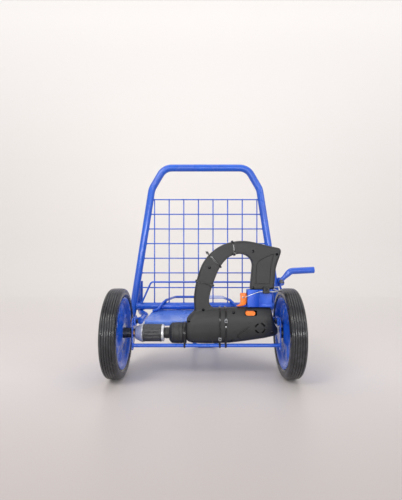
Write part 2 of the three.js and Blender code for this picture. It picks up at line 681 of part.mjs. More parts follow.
function chuck() {
  const at = [0, 0, AXLE_Z];
  add("chuck_body", turned([
    [-202.5, 13], [-202.5, 15], [-199, 18.5], [-186, 24.5], [-179.4, 26.8], [-179.4, CHUCK_CORE],
    [-127, CHUCK_CORE], [-127, SLEEVE_RADIUS - 0.6], [-120.4, SLEEVE_RADIUS - 1.6],
    [-120.4, SPINDLE_RADIUS + GAP], [-150, SPINDLE_RADIUS + GAP], [-150, 13],
  ], 20, at), silver);
  add("output_spindle", turned([
    [-149, 0], [-149, SPINDLE_RADIUS], [-7, SPINDLE_RADIUS], [-7, 0],
  ], 12, at), silver);
  const sleeve = turned([
    [-179, CHUCK_CORE + GAP], [-179, SLEEVE_RADIUS], [-127.4, SLEEVE_RADIUS],
    [-127.4, CHUCK_CORE + GAP],
  ], 30, at);
  const grooves = [];
  for (let i = 0; i < 10; i += 1) {
    const groove = box([-172, -1.6, SLEEVE_RADIUS - 1.6], [-134, 1.6, SLEEVE_RADIUS + 3]);
    grooves.push(groove.rotateX(2 * Math.PI * i / 10).translate(...at));
  }
  add("chuck_sleeve", subtract(sleeve, ...grooves), darkSteel);
  for (let i = 0; i < 3; i += 1) {
    const jaw = box([-200, -3, 5.6], [-168, 3, 12]);
    add("chuck_jaw_" + (i + 1), jaw.rotateX(2 * Math.PI * i / 3).translate(...at), darkSteel);
  }
}

// Blue switch block between the grip's foot and the body, with the trigger in its mouth.
function switchBlock() {
  const depth = HANDLE_DEPTH - 0.5;
  const block = slabY([[BLOCK_LEFT, 185], [BLOCK_RIGHT, 185], [BLOCK_RIGHT, GRIP_FOOT_Z - 0.5],
    [BLOCK_LEFT, GRIP_FOOT_Z - 0.5]].map((p) => new THREE.Vector2(...p)), -depth, 2 * depth);
  const mouth = box([BLOCK_LEFT - 1, -9, SWITCH_Z[0] - 3], [168, 9, SWITCH_Z[1]]);
  add("battery_pack", box(
    GRIP_CAVITY.low.map((value) => value + 1), GRIP_CAVITY.high.map((value) => value - 1)), black);
  add("switch_block", subtract(block, bodyLoft(-0.4), mouth), blueCap);
  add("trigger_switch", box([132, -8.5, SWITCH_Z[0] - 1], [167.5, 8.5, SWITCH_Z[1] - 2]), black);
}

function trigger() {
  const shape = new THREE.Shape();
  shape.moveTo(96.5, 241);
  shape.lineTo(114.6, 241);
  shape.lineTo(114.6, 214);
  shape.quadraticCurveTo(113.5, 204.5, 101, 203.2);
  shape.lineTo(85.5, 202.6);
  shape.lineTo(86, 206);
  shape.quadraticCurveTo(96.5, 208, 97.5, 216);
  const finger = slabY(shape.extractPoints(4).shape, -8, 16);
  const stem = box([113, -5, 216], [131.4 - TRIGGER_TRAVEL, 5, 236]);
  add("trigger", union(finger, stem), orange);
}

// ---- Ties ----
// A flat strap pulled tight round the pieces whose outline points are given, in a YZ plane.
function strap(name, x, points, head) {
  const inner = hull(points(GAP + 0.2));
  const outer = hull(points(GAP + 0.2 + TIE_THICK));
  const loop = slabX(outer, x - TIE_WIDTH / 2, TIE_WIDTH, [inner]);
  add(name, head ? union(loop, head) : loop, black);
}

// The front of a closed outline of [y, z] points at a height.
function frontOf(outline, z) {
  const crossings = outline.flatMap((a, i) => {
    const b = outline[(i + 1) % outline.length];
    if ((a.y < z) === (b.y < z)) return [];
    return [a.x + (b.x - a.x) * (z - a.y) / (b.y - a.y)];
  });
  return Math.min(...crossings);
}

function drillStraps() {
  const bar = (extra) => circle(BAR_ROD / 2 + extra, 14, [BAR_Y, BAR_Z]);
  const collar = (extra) => [...circle(COLLAR_RADIUS + extra, 24, [0, AXLE_Z]), ...bar(extra)];
  strap("collar_tie", -61.3, collar);
  const heads = { left_body_tie: [37.5, 115], right_body_tie: [54, 166] };
  for (const [name, [x, z]] of Object.entries(heads)) {
    const body = (extra) => [
      ...sectionRing(sectionAt(x), -extra - 0.25, 32).map((p) => new THREE.Vector2(p.y, p.z)),
      ...bar(extra)];
    const outside = hull(body(GAP + 0.2 + TIE_THICK));
    const face = Math.min(frontOf(outside, z - 4), frontOf(outside, z + 4));
    const head = box([x - 3.6, face - 3.2, z - 4], [x + 3.6, face + 0.8, z + 4]);
    strap(name, x, body, head);
  }
}

// A band round the D-handle, from a point on its outer edge to the one across on its inner edge.
function handleTie(name, outer, inner, stub) {
  const [dx, dz] = [inner[0] - outer[0], inner[1] - outer[1]];
  const half = Math.hypot(dx, dz) / 2 + GAP + 0.4;
  const depth = HANDLE_DEPTH + GAP + 0.2;
  const frame = (extra) => [[-half - extra, -depth - extra], [half + extra, -depth - extra],
    [half + extra, depth + extra], [-half - extra, depth + extra]].map((p) => new THREE.Vector2(...p));
  const shape = new THREE.Shape(frame(TIE_THICK));
  shape.holes.push(new THREE.Path(frame(0)));
  const band = new THREE.ExtrudeGeometry(shape, { depth: TIE_WIDTH, bevelEnabled: false });
  const whole = union(band, stub(half, depth)).translate(0, 0, -TIE_WIDTH / 2);
  whole.rotateY(Math.atan2(-dz, dx)).translate((outer[0] + inner[0]) / 2, 0, (outer[1] + inner[1]) / 2);
  add(name, whole, black);
}

function handleTies() {
  handleTie("handle_tie_low", [-29.3, 276], [19.7, 262.5],
    (half, depth) => box([half - 9, -depth - 4.5, -1], [half - 2, -depth - 0.5, TIE_WIDTH + 1]));
  handleTie("handle_tie_mid", [6, 352], [41, 315],
    (half) => box([-half - 10, -4, -0.8], [-half - 0.5, 4, TIE_WIDTH + 0.8]));
  handleTie("handle_tie_top", [73.5, 388], [80, 349.5],
    (half, depth) => rod([half - 7, -depth - 5, TIE_WIDTH / 2], [half - 7, -depth - 0.5, TIE_WIDTH / 2],
      5.5, 12));
}

// ---- Cable and lever ----
const GUIDE_OUT = 7.5; // from the handle's face to the middle of the guide
const GUIDE = { x: [158, 176], y: -HANDLE_DEPTH - GUIDE_OUT, z: 246.5, size: 5 };
const WIRE = 1.8;
const SHEATH = 4;
const SHEATH_BORE = 2.6;
const WIRE_Y = LEVER_Y - 9;
const WIRE_Z = LEVER_PIVOT[1] - HOOK_DROP;
const SHEATH_END_X = LEVER_PIVOT[0] - 6.5;

// Sheath from the guide on the grip round to the lever, with the wire's two ends in its mouths.
function cable() {
  const { x, y, z, size } = GUIDE;
  const guide = subtract(
    box([x[0], y - size, z - size], [x[1], y + size, z + size + 6]),
    rod([x[0] - 1, y, z], [x[1] + 1, y, z], 3.2, 10));
  const strapUp = box([x[0] + 4, y + 1, z + size + 3], [x[1] - 4, -HANDLE_DEPTH - 0.4, z + size + 14]);
  add("cable_guide", union(guide, strapUp), black);
  const route = [
    [x[1] - 6, y, z],
    [x[1] + 16, y, z],
    [x[1] + 32, y + 40, z - 2],
    [SHEATH_END_X - 30, WIRE_Y, WIRE_Z],
    [SHEATH_END_X, WIRE_Y, WIRE_Z],
  ];
  const sheath = { bends: [8, 30, 14], sides: 6, steps: 3, bore: SHEATH_BORE };
  add("cable_outer", bentTube(route, SHEATH, sheath), darkSteel);
  add("inner_wire_front", bentTube([
    [103, -9, 229], [106.5, -19.5, 230.5], [148, y, z], [x[1] - 2, y, z],
  ], WIRE, { bends: 4, sides: 6, steps: 2 }), silver);
  const hookX = LEVER_PIVOT[0] - HOOK_ROD / 2 - 0.9;
  add("inner_wire_rear", rod([SHEATH_END_X - 11, WIRE_Y, WIRE_Z], [hookX, WIRE_Y, WIRE_Z], WIRE / 2, 6),
    silver);
}

// Hand lever: pressed flat at the pivot, round at the grip.
function sideLever() {
  const [px, pz] = LEVER_PIVOT;
  const [bx, bz] = LEVER_BEND;
  const [ex, ez] = LEVER_END;
  const path = new BentPath([[px - 5, LEVER_Y, pz - 4.9], [bx, LEVER_Y, bz], [ex, LEVER_Y, ez]], 20, 5);
  const rings = [];
  const put = (point, tangent, flat, depth) => {
    const up = new THREE.Vector3(-tangent.z, 0, tangent.x);
    rings.push(Array.from({ length: 14 }, (_, i) => {
      const angle = 2 * Math.PI * i / 14;
      return point.clone().addScaledVector(up, flat * Math.cos(angle))
        .add(new THREE.Vector3(0, -depth * Math.sin(angle), 0));
    }));
  };
  const [start, ...rest] = path.stations;
  put(start, path.tangents[0], LEVER_FLAT - 0.4, LEVER_FLAT_DEPTH);
  put(start.clone().lerp(rest[0], 0.75), path.tangents[0], LEVER_FLAT, LEVER_FLAT_DEPTH);
  const round = LEVER_TUBE / 2;
  rest.forEach((point, i) => put(point, path.tangents[i + 1], i < 1 ? round - 2 : round, round));
  const tube = loft(rings);
  const bore = rod([px, LEVER_Y - 20, pz], [px, LEVER_Y + 20, pz], PIVOT_BOLT_RADIUS + RUN, 12);
  const hook = bentTube([
    [px, LEVER_Y, pz - 5.5], [px, LEVER_Y, WIRE_Z - 4.5], [px, LEVER_Y - 12.5, WIRE_Z - 4.5],
  ], HOOK_ROD, { bends: 4, sides: 10, steps: 3 });
  add("side_lever", subtract(union(tube, hook), bore), steelBlue);
}

function leverMount() {
  const [px, pz] = LEVER_PIVOT;
  const rear = BRACKET_Y + BRACKET_SHEET;
  const edge = (z) => loopHalfAt(z) + TUBE / 2 + 0.9;
  const outline = [[edge(275), 275], [edge(243), 243], [268, 249], [269, 260], [262, 274]]
    .map((p) => new THREE.Vector2(...p));
  const hole = rod([px, BRACKET_Y - 2, pz], [px, rear + 2, pz], PIVOT_BOLT_RADIUS + GAP, 12);
  add("lever_bracket", subtract(slabY(outline, BRACKET_Y, BRACKET_SHEET), hole), steelBlue);
  const headY = LEVER_Y - LEVER_FLAT_DEPTH - RUN;
  const head = rod([px, headY - 5, pz], [px, headY, pz], 6.5, 6);
  const shank = rod([px, headY - 1, pz], [px, rear + 9, pz], PIVOT_BOLT_RADIUS, 10);
  add("lever_pivot_bolt", union(head, shank), darkSteel);
  const nut = subtract(rod([px, rear + 0.4, pz], [px, rear + 6.4, pz], 6.5, 6),
    rod([px, rear - 2, pz], [px, rear + 9, pz], PIVOT_BOLT_RADIUS + GAP, 12));
  add("lever_pivot_nut", nut, darkSteel);
  leverStop();
}

// Pin under the lever's flat end that it rests on.
function leverStop() {
  const [px, pz] = LEVER_PIVOT;
  const radius = 2.4;
  const angle = Math.atan2(LEVER_BEND[1] - pz, LEVER_BEND[0] - px);
  const off = LEVER_FLAT + radius + GAP;
  const x = px + 3.5 * Math.cos(angle) + off * Math.sin(angle);
  const z = pz + 3.5 * Math.sin(angle) - off * Math.cos(angle);
  add("lever_stop_pin", rod([x, LEVER_Y - 6, z], [x, BRACKET_Y - GAP, z], radius, 10), darkSteel);
}

// ---- Assembly ----
driveSide();
idlerSide();
handleLoop();
crossTube();
baseRail("left_base_rail", -1);
baseRail("right_base_rail", 1);
axlePlate("left_axle_plate", -1, 11 + GAP);
axlePlate("right_axle_plate", 1, 0);
railBolt("left", -1);
railBolt("right", 1);
meshPanel();
trayPlate();
carrierRod();
guardRod();
lowerBar();
rearStand();
drillHousing();
directionSlider();
driveTrain();
chuck();
switchBlock();
trigger();
drillStraps();
handleTies();
cable();
sideLever();
leverMount();

// The origin is under the middle of the whole cart, on the ground.
const bounds = new THREE.Box3().setFromObject(cart, true);
const centre = bounds.getCenter(new THREE.Vector3());
cart.position.set(-centre.x, -centre.y, -bounds.min.z);
const part = new THREE.Group();
part.add(cart);
export default part;
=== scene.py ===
"""Looks of a two-wheeled barrow cart whose left wheel is driven by a strapped-on drill.

Sizes are in millimetres on the cart's own axes: X to the right, Y to the rear from the wheel axle,
Z up from the ground, with X = 0 midway between the two axle plates. CART.to_frame turns them into
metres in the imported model's frame.
"""

from __future__ import annotations

import logging
import math
from dataclasses import dataclass, field
from enum import Enum
from typing import Callable, Iterable, NamedTuple, Sequence

import bmesh
import bpy
import numpy as np
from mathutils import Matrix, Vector

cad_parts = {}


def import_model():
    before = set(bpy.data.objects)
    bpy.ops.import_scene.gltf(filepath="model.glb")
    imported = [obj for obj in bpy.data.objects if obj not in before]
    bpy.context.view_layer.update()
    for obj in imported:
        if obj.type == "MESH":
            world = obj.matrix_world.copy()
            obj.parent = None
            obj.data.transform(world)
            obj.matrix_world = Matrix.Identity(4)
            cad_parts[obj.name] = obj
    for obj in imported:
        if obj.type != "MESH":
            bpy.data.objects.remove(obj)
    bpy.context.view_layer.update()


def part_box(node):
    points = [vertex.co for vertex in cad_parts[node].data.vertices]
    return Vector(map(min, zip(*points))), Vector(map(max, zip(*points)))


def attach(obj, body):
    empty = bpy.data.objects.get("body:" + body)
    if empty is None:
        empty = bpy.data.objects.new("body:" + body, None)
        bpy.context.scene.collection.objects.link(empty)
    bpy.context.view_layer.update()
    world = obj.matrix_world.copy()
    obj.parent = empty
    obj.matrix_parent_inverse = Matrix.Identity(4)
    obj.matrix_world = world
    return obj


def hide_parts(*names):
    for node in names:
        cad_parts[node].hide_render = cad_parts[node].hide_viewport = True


logging.basicConfig(level=logging.INFO, format="%(name)s: %(message)s")
LOG = logging.getLogger("cart")

Array = np.ndarray
Point = Sequence[float]
TAU = 2.0 * math.pi
Stops = Sequence[tuple[float, str]]


# ---- Numbers shared by the sub-assemblies ----


@dataclass
class CartFrame:
    """Where the cart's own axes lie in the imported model's frame."""

    origin: Array = field(default_factory=lambda: np.zeros(3))

    def read(self) -> None:
        """Take the axle line from the tyres and the middle from the axle plates."""
        low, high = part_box("left_tyre")
        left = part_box("left_axle_plate")[0][0]
        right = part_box("right_axle_plate")[1][0]
        self.origin = np.array([(left + right) / 2, (low[1] + high[1]) / 2, 0.0])

    def to_frame(self, points: Array) -> Array:
        """Turn cart millimetres into frame metres."""
        return np.asarray(points, float) / 1000.0 + self.origin


CART = CartFrame()


@dataclass(frozen=True)
class Layout:
    """Places that several sub-assemblies share."""

    axle_z: float = 127.0
    panel_y: float = 197.0
    plate_inner: float = 206.0
    plate_outer: float = 209.0
    tube: float = 24.0
    cross_z: float = 177.6
    loop_foot: tuple[float, float] = (254.8, 123.0)
    loop_shoulder: tuple[float, float] = (184.0, 576.0)
    loop_top: tuple[float, float] = (141.6, 649.0)
    bar_y: float = -20.0
    bar_z: float = 95.5
    bar_rod: float = 10.4

    @property
    def lean(self) -> float:
        """Lean of the uprights from the vertical, in radians."""
        run = self.loop_foot[0] - self.loop_shoulder[0]
        return math.atan2(run, self.loop_shoulder[1] - self.loop_foot[1])

    def upright_x(self, z: float) -> float:
        """Distance of an upright's centreline from the middle at height z."""
        return self.loop_shoulder[0] + (self.loop_shoulder[1] - z) * math.tan(self.lean)

    def span(self, z: float) -> float:
        """Half the length of a level bar that ends on the uprights at height z."""
        return self.upright_x(z) - self.tube / 2 / math.cos(self.lean)


LAYOUT = Layout()


# ---- Surfaces ----


class Ends(Enum):
    """How a grid surface closes along its first parameter."""

    CAPPED = "capped"
    LOOPED = "looped"


@dataclass
class Surface:
    """Points and faces of one closed skin, in cart millimetres."""

    points: Array
    faces: list[tuple[int, ...]]

    @staticmethod
    def grid(rows: Array, ends: Ends = Ends.CAPPED) -> Surface:
        """Join rows of points into a skin.

        Row u and place v on it give the point P(u, v); each row is a closed ring. A face joins
        P(u, v), P(u, v+1), P(u+1, v+1) and P(u+1, v). Caps are single flat faces on the end rings.

        Args:
            rows: an array of shape (rows, ring, 3).
            ends: CAPPED closes both end rings, LOOPED joins the last row to the first.

        Returns:
            The surface; its normals are set later, when the mesh is made.
        """
        count, ring = rows.shape[:2]
        index = np.arange(count * ring).reshape(count, ring)
        if ends is Ends.LOOPED:
            index = np.vstack([index, index[:1]])
        turned = np.roll(index, -1, axis=1)
        quads = np.stack([index[:-1], turned[:-1], turned[1:], index[1:]], axis=-1)
        faces: list[tuple[int, ...]] = [tuple(q) for q in quads.reshape(-1, 4).tolist()]
        if ends is Ends.CAPPED:
            faces.append(tuple(index[0][::-1].tolist()))
            faces.append(tuple(index[-1].tolist()))
        return Surface(rows.reshape(-1, 3), faces)

    @staticmethod
    def join(parts: Iterable[Surface]) -> Surface:
        """Put several skins into one list of points and faces."""
        points: list[Array] = []
        faces: list[tuple[int, ...]] = []
        start = 0
        for part in parts:
            points.append(part.points)
            faces += [tuple(i + start for i in face) for face in part.faces]
            start += len(part.points)
        return Surface(np.vstack(points), faces)


def turned_profile(profile: Sequence[Point], segments: int, centre: Point,
                   shape: Callable[[Array, Array, Array], tuple[Array, Array]] | None = None,
                   ) -> Surface:
    """Turn a closed profile about a line along X.

    A profile point (x, r) at angle t gives the point (x, r cos t, r sin t) about the centre.

    Args:
        profile: closed loop of (x, radius) points, all off the axis.
        segments: steps round the axis.
        centre: a point on the axis.
        shape: changes (x, r) from x, r and t, for ribs and dimples.

    Returns:
        The turned surface.
    """
    loop = np.asarray(profile, float)
    angle = np.linspace(0.0, TAU, segments, endpoint=False)
    x = np.repeat(loop[None, :, 0], segments, axis=0)
    r = np.repeat(loop[None, :, 1], segments, axis=0)
    t = np.repeat(angle[:, None], len(loop), axis=1)
    if shape is not None:
        x, r = shape(x, r, t)
    rows = np.stack([x, r * np.cos(t), r * np.sin(t)], axis=-1) + np.asarray(centre, float)
    return Surface.grid(rows, Ends.LOOPED)


def smooth_profile(points: Sequence[Point], radius: float, steps: int = 4) -> list[Point]:
    """Round the corners of a closed 2-D outline.

    Each corner B between A and C becomes a curve from B + s(A-B) to B + s(C-B), a quadratic Bezier
    with B as its control point, where s keeps the cut within the radius and 45% of each side.

    Args:
        points: corners of the outline.
        radius: how far from a corner its curve starts.
        steps: points along each curve.

    Returns:
        The rounded outline.
    """
    corners = np.asarray(points, float)
    before = np.roll(corners, 1, axis=0) - corners
    after = np.roll(corners, -1, axis=0) - corners
    cut = np.minimum(radius, 0.45 * np.minimum(np.linalg.norm(before, axis=1),
                                               np.linalg.norm(after, axis=1)))[:, None]
    start = corners + before / np.linalg.norm(before, axis=1)[:, None] * cut
    end = corners + after / np.linalg.norm(after, axis=1)[:, None] * cut
    t = np.linspace(0.0, 1.0, steps)[None, :, None]
    curve = ((1 - t) ** 2 * start[:, None] + 2 * t * (1 - t) * corners[:, None]
             + t ** 2 * end[:, None])
    return curve.reshape(-1, 2).tolist()


def bent_path(points: Sequence[Point], bends: float | Sequence[float], step: float = 6.0) -> Array:
    """Centreline of a bar bent at each corner with a round bend.

    A bend of radius R between unit directions a and b starts R tan(w/2) before the corner, where w
    is the turn, and runs start + R sin(t) a + R (1 - cos t) s with s the unit sideways direction.

    Args:
        points: the corners, with the two ends.
        bends: one radius for all the corners or one for each.
        step: longest distance between points on a bend.

    Returns:
        An array of points along the centreline.
    """
    corners = np.asarray(points, float)
    radii = [bends] * (len(corners) - 2) if np.isscalar(bends) else list(bends)
    line = [corners[:1]]
    for i, radius in enumerate(radii, start=1):
        a = corners[i] - corners[i - 1]
        b = corners[i + 1] - corners[i]
        a, b = a / np.linalg.norm(a), b / np.linalg.norm(b)
        turn = math.acos(float(np.clip(a @ b, -1.0, 1.0)))
        side = b - a * (a @ b)
        side /= np.linalg.norm(side)
        count = max(4, int(radius * turn / step) + 1)
        t = np.linspace(0.0, turn, count)[:, None]
        start = corners[i] - a * radius * math.tan(turn / 2)
        line.append(start + radius * np.sin(t) * a + radius * (1 - np.cos(t)) * side)
    line.append(corners[-1:])
    return np.vstack(line)


def path_frames(path: Array, looped: bool = False) -> tuple[Array, Array, Array]:
    """Tangent, side and up directions along a path, carried without twist.

    Args:
        path: points along the path.
        looped: whether the last point joins the first.

    Returns:
        Three arrays of unit vectors, one row for each point.
    """
    if looped:
        tangent = np.roll(path, -1, axis=0) - np.roll(path, 1, axis=0)
    else:
        tangent = np.gradient(path, axis=0)
    tangent /= np.linalg.norm(tangent, axis=1)[:, None]
    start = np.array([0.0, 0.0, 1.0]) if abs(tangent[0][2]) < 0.9 else np.array([0.0, 1.0, 0.0])
    side = np.empty_like(path)
    last = start
    for i, direction in enumerate(tangent):
        last = last - direction * (last @ direction)
        last = last / np.linalg.norm(last)
        side[i] = last
    return tangent, side, np.cross(tangent, side)


def swept(path: Array, radius: float | Array, sides: int = 20, dome: float = 0.0) -> Surface:
    """A round bar along a path.

    A point at angle t round the path point P is P + r (cos t s + sin t u), with s and u the carried
    side directions. Both ends are drawn in by the dome size over two extra rings, as a cut end is.

    Args:
        path: centreline points.
        radius: one radius or one for each point.
        sides: points round the bar.
        dome: size of the rounding at the two ends.

    Returns:
        The bar's surface with closed ends.
    """
    size = np.broadcast_to(np.asarray(radius, float), (len(path),)).copy()
    _, side, up = path_frames(path)
    if dome > 0:
        ahead = (path[1] - path[0]) / np.linalg.norm(path[1] - path[0])
        behind = (path[-1] - path[-2]) / np.linalg.norm(path[-1] - path[-2])
        path = np.vstack([path[:1], path[:1] + ahead * dome, path[1:-1],
                          path[-1:] - behind * dome, path[-1:]])
        side = np.vstack([side[:1], side, side[-1:]])
        up = np.vstack([up[:1], up, up[-1:]])
        size = np.concatenate([[size[0] - dome], size, [size[-1] - dome]])
    t = np.linspace(0.0, TAU, sides, endpoint=False)[None, :, None]
    rows = path[:, None] + size[:, None, None] * (np.cos(t) * side[:, None]
                                                  + np.sin(t) * up[:, None])
    return Surface.grid(rows, Ends.CAPPED)


def straight(start: Point, end: Point, radius: float, sides: int = 20,
             dome: float = 0.6) -> Surface:
    """A straight round bar with slightly rounded ends."""
    ends = np.asarray([start, end], float)
    t = np.linspace(0.0, 1.0, 4)[:, None]
    return swept(ends[0] * (1 - t) + ends[1] * t, radius, sides, dome)


def weld_bead(centre: Point, axis: Point, radius: float, size: float = 2.2) -> Surface:
    """A ring of weld metal round a bar where it meets another.

    A torus of radius R and thickness b, with b = size (1 + 0.22 |sin 9t|) so that it shows the
    overlapping scales of a hand-run bead.

    Args:
        centre: middle of the ring.
        axis: direction of the bar.
        radius: radius of the bar.
        size: mean half thickness of the bead.

    Returns:
        The closed ring.
    """
    along = np.asarray(axis, float) / np.linalg.norm(axis)
    start = np.array([0.0, 0.0, 1.0]) if abs(along[2]) < 0.9 else np.array([0.0, 1.0, 0.0])
    side = np.cross(along, start)
    side /= np.linalg.norm(side)
    up = np.cross(along, side)
    t = np.linspace(0.0, TAU, 54, endpoint=False)[:, None, None]
    p = np.linspace(0.0, TAU, 8, endpoint=False)[None, :, None]
    thick = size * (1 + 0.22 * np.abs(np.sin(9 * t)))
    out = np.cos(t) * side + np.sin(t) * up
    rows = np.asarray(centre, float) + out * (radius + thick
                                              * np.cos(p)) + along * thick * np.sin(p)
    return Surface.grid(rows, Ends.LOOPED)


def weld_tack(start: Point, end: Point, size: float = 2.0) -> Surface:
    """A short run of weld metal: a bar whose radius is size (0.8 + 0.25 |sin|) in even scales."""
    ends = np.asarray([start, end], float)
    length = float(np.linalg.norm(ends[1] - ends[0]))
    t = np.linspace(0.0, 1.0, max(8, int(length / 1.2)))
    scale = 0.8 + 0.25 * np.abs(np.sin(t * math.pi * max(2.0, length / 3.5)))
    taper = np.sqrt(np.clip(1 - (2 * t - 1) ** 8, 0.05, 1.0))
    path = ends[0] * (1 - t[:, None]) + ends[1] * t[:, None]
    return swept(path, size * scale * taper, 10)


def slab(outline: Sequence[Point], low: float, high: float, plane: str) -> Surface:
    """A flat outline given a thickness."""
    flat = np.asarray(outline, float)
    rows = []
    for value in (low, high):
        third = np.full(len(flat), value)
        one, two = flat[:, 0], flat[:, 1]
        parts = [one, third, two] if plane == "xz" else [third, one, two]
        rows.append(np.stack(parts, axis=-1))
    return Surface.grid(np.array(rows), Ends.CAPPED)


def block(low: Point, high: Point) -> Surface:
    """A box from its low and high corners, for use with a Bevel modifier."""
    x, z = (low[0], high[0]), (low[2], high[2])
    corners = [(x[0], z[0]), (x[1], z[0]), (x[1], z[1]), (x[0], z[1])]
    return slab(corners, low[1], high[1], "xz")


def hexagon_profile(width: float, height: float, bore: float, chamfer: float = 1.0,
                    ) -> tuple[list[Point], Callable[[Array, Array, Array], tuple[Array, Array]]]:
    """Profile and shaping of a hexagon nut or bolt head across its flats.

    The turned radius at angle t is the smaller of the hexagon's, w/2 / cos(t mod 60 - 30 degrees),
    and a cone that chamfers the corners.

    Args:
        width: distance across the flats.
        height: thickness along X.
        bore: radius of the hole or of the hidden core.
        chamfer: how far the corner cone reaches along X.

    Returns:
        The profile and its shape function.
    """
    far = width / 2 / math.cos(math.pi / 6)
    near = width / 2
    profile = [(0.0, bore), (0.0, near - 0.4), (0.0, far), (chamfer * 0.5, far), (chamfer, far),
               (height / 2, far), (height - chamfer, far), (height - chamfer * 0.5, far),
               (height, far), (height, near - 0.4), (height, bore)]

    def shape(x: Array, r: Array, t: Array) -> tuple[Array, Array]:
        """Cut the turned radius to the hexagon and its corner cones."""
        flat = near / np.cos((t % (math.pi / 3)) - math.pi / 6)
        depth = np.minimum(x, height - x)
        cone = near - 0.2 + depth / chamfer * (far - near + 0.2)
        cut = np.minimum(np.minimum(r, flat), cone)
        return x, np.where(r > near - 0.5, cut, r)

    return profile, shape


def hex_piece(start: Point, direction: float, width: float, height: float, bore: float) -> Surface:
    """A chamfered hexagon along X from a start point; direction is +1 or -1."""
    profile, shape = hexagon_profile(width, height, bore)
    piece = turned_profile(profile, 96, (0.0, 0.0, 0.0), shape)
    piece.points = piece.points * np.array([direction, 1.0, 1.0]) + np.asarray(start, float)
    return piece


def threaded_end(start: Point, length: float, radius: float, pitch: float = 1.5) -> Surface:
    """A screw thread along X.

    The radius at distance x and angle t is r - d/2 + d/2 cos(2 pi (x / pitch - t / 2 pi)), with
    d = 0.35 pitch.

    Args:
        start: centre of the first ring.
        length: length along X, negative to run towards -X.
        radius: outer radius.
        pitch: distance between crests.

    Returns:
        The closed threaded bar.
    """
    count = int(abs(length) / pitch * 8)
    x = np.linspace(0.0, length, count)[:, None]
    t = np.linspace(0.0, TAU, 28, endpoint=False)[None, :]
    depth = 0.35 * pitch
    r = radius - depth / 2 + depth / 2 * np.cos(TAU * x / pitch - t)
    r[0] -= 0.8
    r[-1] -= 0.8
    rows = np.stack([x + 0 * t, r * np.cos(t), r * np.sin(t)], axis=-1) + np.asarray(start, float)
    return Surface.grid(rows, Ends.CAPPED)


# ---- From surfaces to objects ----


def make_object(name: str, surface: Surface, smooth_angle: float = 35.0) -> bpy.types.Object:
    """Make a mesh object from a surface, in frame metres, with its faces outwards.

    Args:
        name: the object's name.
        surface: points in cart millimetres, and faces.
        smooth_angle: edges sharper than this stay sharp, in degrees.

    Returns:
        The new object, linked to the scene.
    """
    mesh = bpy.data.meshes.new(name)
    mesh.from_pydata(CART.to_frame(surface.points).tolist(), [], surface.faces)
    work = bmesh.new()
    work.from_mesh(mesh)
    bmesh.ops.recalc_face_normals(work, faces=work.faces)
    work.to_mesh(mesh)
    work.free()
    mesh.shade_smooth()
    mesh.set_sharp_from_angle(angle=math.radians(smooth_angle))
    made = bpy.data.objects.new(name, mesh)
    bpy.context.scene.collection.objects.link(made)
    return made


def bevel(piece: bpy.types.Object, width: float, segments: int = 3, angle: float = 40.0) -> None:
    """Round an object's edges with a Bevel modifier."""
    modifier = piece.modifiers.new("edges", "BEVEL")
    modifier.width = width / 1000.0
    modifier.segments = segments
    modifier.limit_method = "ANGLE"
    modifier.angle_limit = math.radians(angle)
    modifier.harden_normals = True


def bake_modifiers(piece: bpy.types.Object) -> None:
    """Replace an object's mesh by what its modifiers give, and drop them."""
    graph = bpy.context.evaluated_depsgraph_get()
    graph.update()
    done = bpy.data.meshes.new_from_object(piece.evaluated_get(graph))
    piece.modifiers.clear()
    piece.data = done


def circle(count: int) -> Array:
    """Points (cos, sin) of a unit circle, the first one not repeated."""
    t = np.linspace(0, TAU, count, endpoint=False)
    return np.stack([np.cos(t), np.sin(t)], axis=-1)


class Coat(NamedTuple):
    """A finished material and the record's slot that it stands for."""

    slot: str
    material: bpy.types.Material


def place(piece: bpy.types.Object, body: str, coat: Coat, *nodes: str,
          slot: str | None = None) -> None:
    """Give an object its finish and body, and hide the CAD nodes that it stands for."""
    piece.data.materials.clear()
    piece.data.materials.append(coat.material)
    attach(piece, body)
    if nodes:
        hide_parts(*nodes)


def put(name: str, surface: Surface, coat: Coat, *nodes: str, body: str = "frame",
        angle: float = 35.0, edge: float = 0.0, steps: int = 3, slot: str | None = None) -> None:
    """Make a piece from a surface, ease its edges and place it.

    Args:
        name: the object's name.
        surface: its skin.
        coat: its finish.
        nodes: CAD nodes that it replaces.
        body: body that it moves with.
        angle: faces that meet at less than this are shaded smooth, in degrees.
        edge: bevel width; zero for none.
        steps: segments of the bevel.
        slot: record slot, where it isn't the finish's own; not used.
    """
    piece = make_object(name, surface, angle)
    if edge:
        bevel(piece, edge, steps)
    place(piece, body, coat, *nodes, slot=slot)


# ---- Finishes ----


def linear(hex_value: str) -> tuple[float, float, float, float]:
    """Turn an sRGB hex colour into linear red, green, blue and alpha."""
    parts = [int(hex_value.lstrip("#")[i:i + 2], 16) / 255.0 for i in (0, 2, 4)]
    turned = [c / 12.92 if c <= 0.04045 else ((c + 0.055) / 1.055) ** 2.4 for c in parts]
    return (turned[0], turned[1], turned[2], 1.0)


def add_node(tree: bpy.types.NodeTree, kind: str, settings: dict[str, object] | None = None,
             inputs: dict[str | int, object] | None = None) -> bpy.types.Node:
    """Add a node to a tree with its settings and links.

    Args:
        tree: the node tree.
        kind: the node's type name.
        settings: properties to set on the node.
        inputs: for each input, by name or number, a value or the output socket to link from.

    Returns:
        The new node.
    """
    made = tree.nodes.new(kind)
    for key, value in (settings or {}).items():
        setattr(made, key, value)
    for key, value in (inputs or {}).items():
        if isinstance(value, bpy.types.NodeSocket):
            tree.links.new(value, made.inputs[key])
        else:
            made.inputs[key].default_value = value
    return made


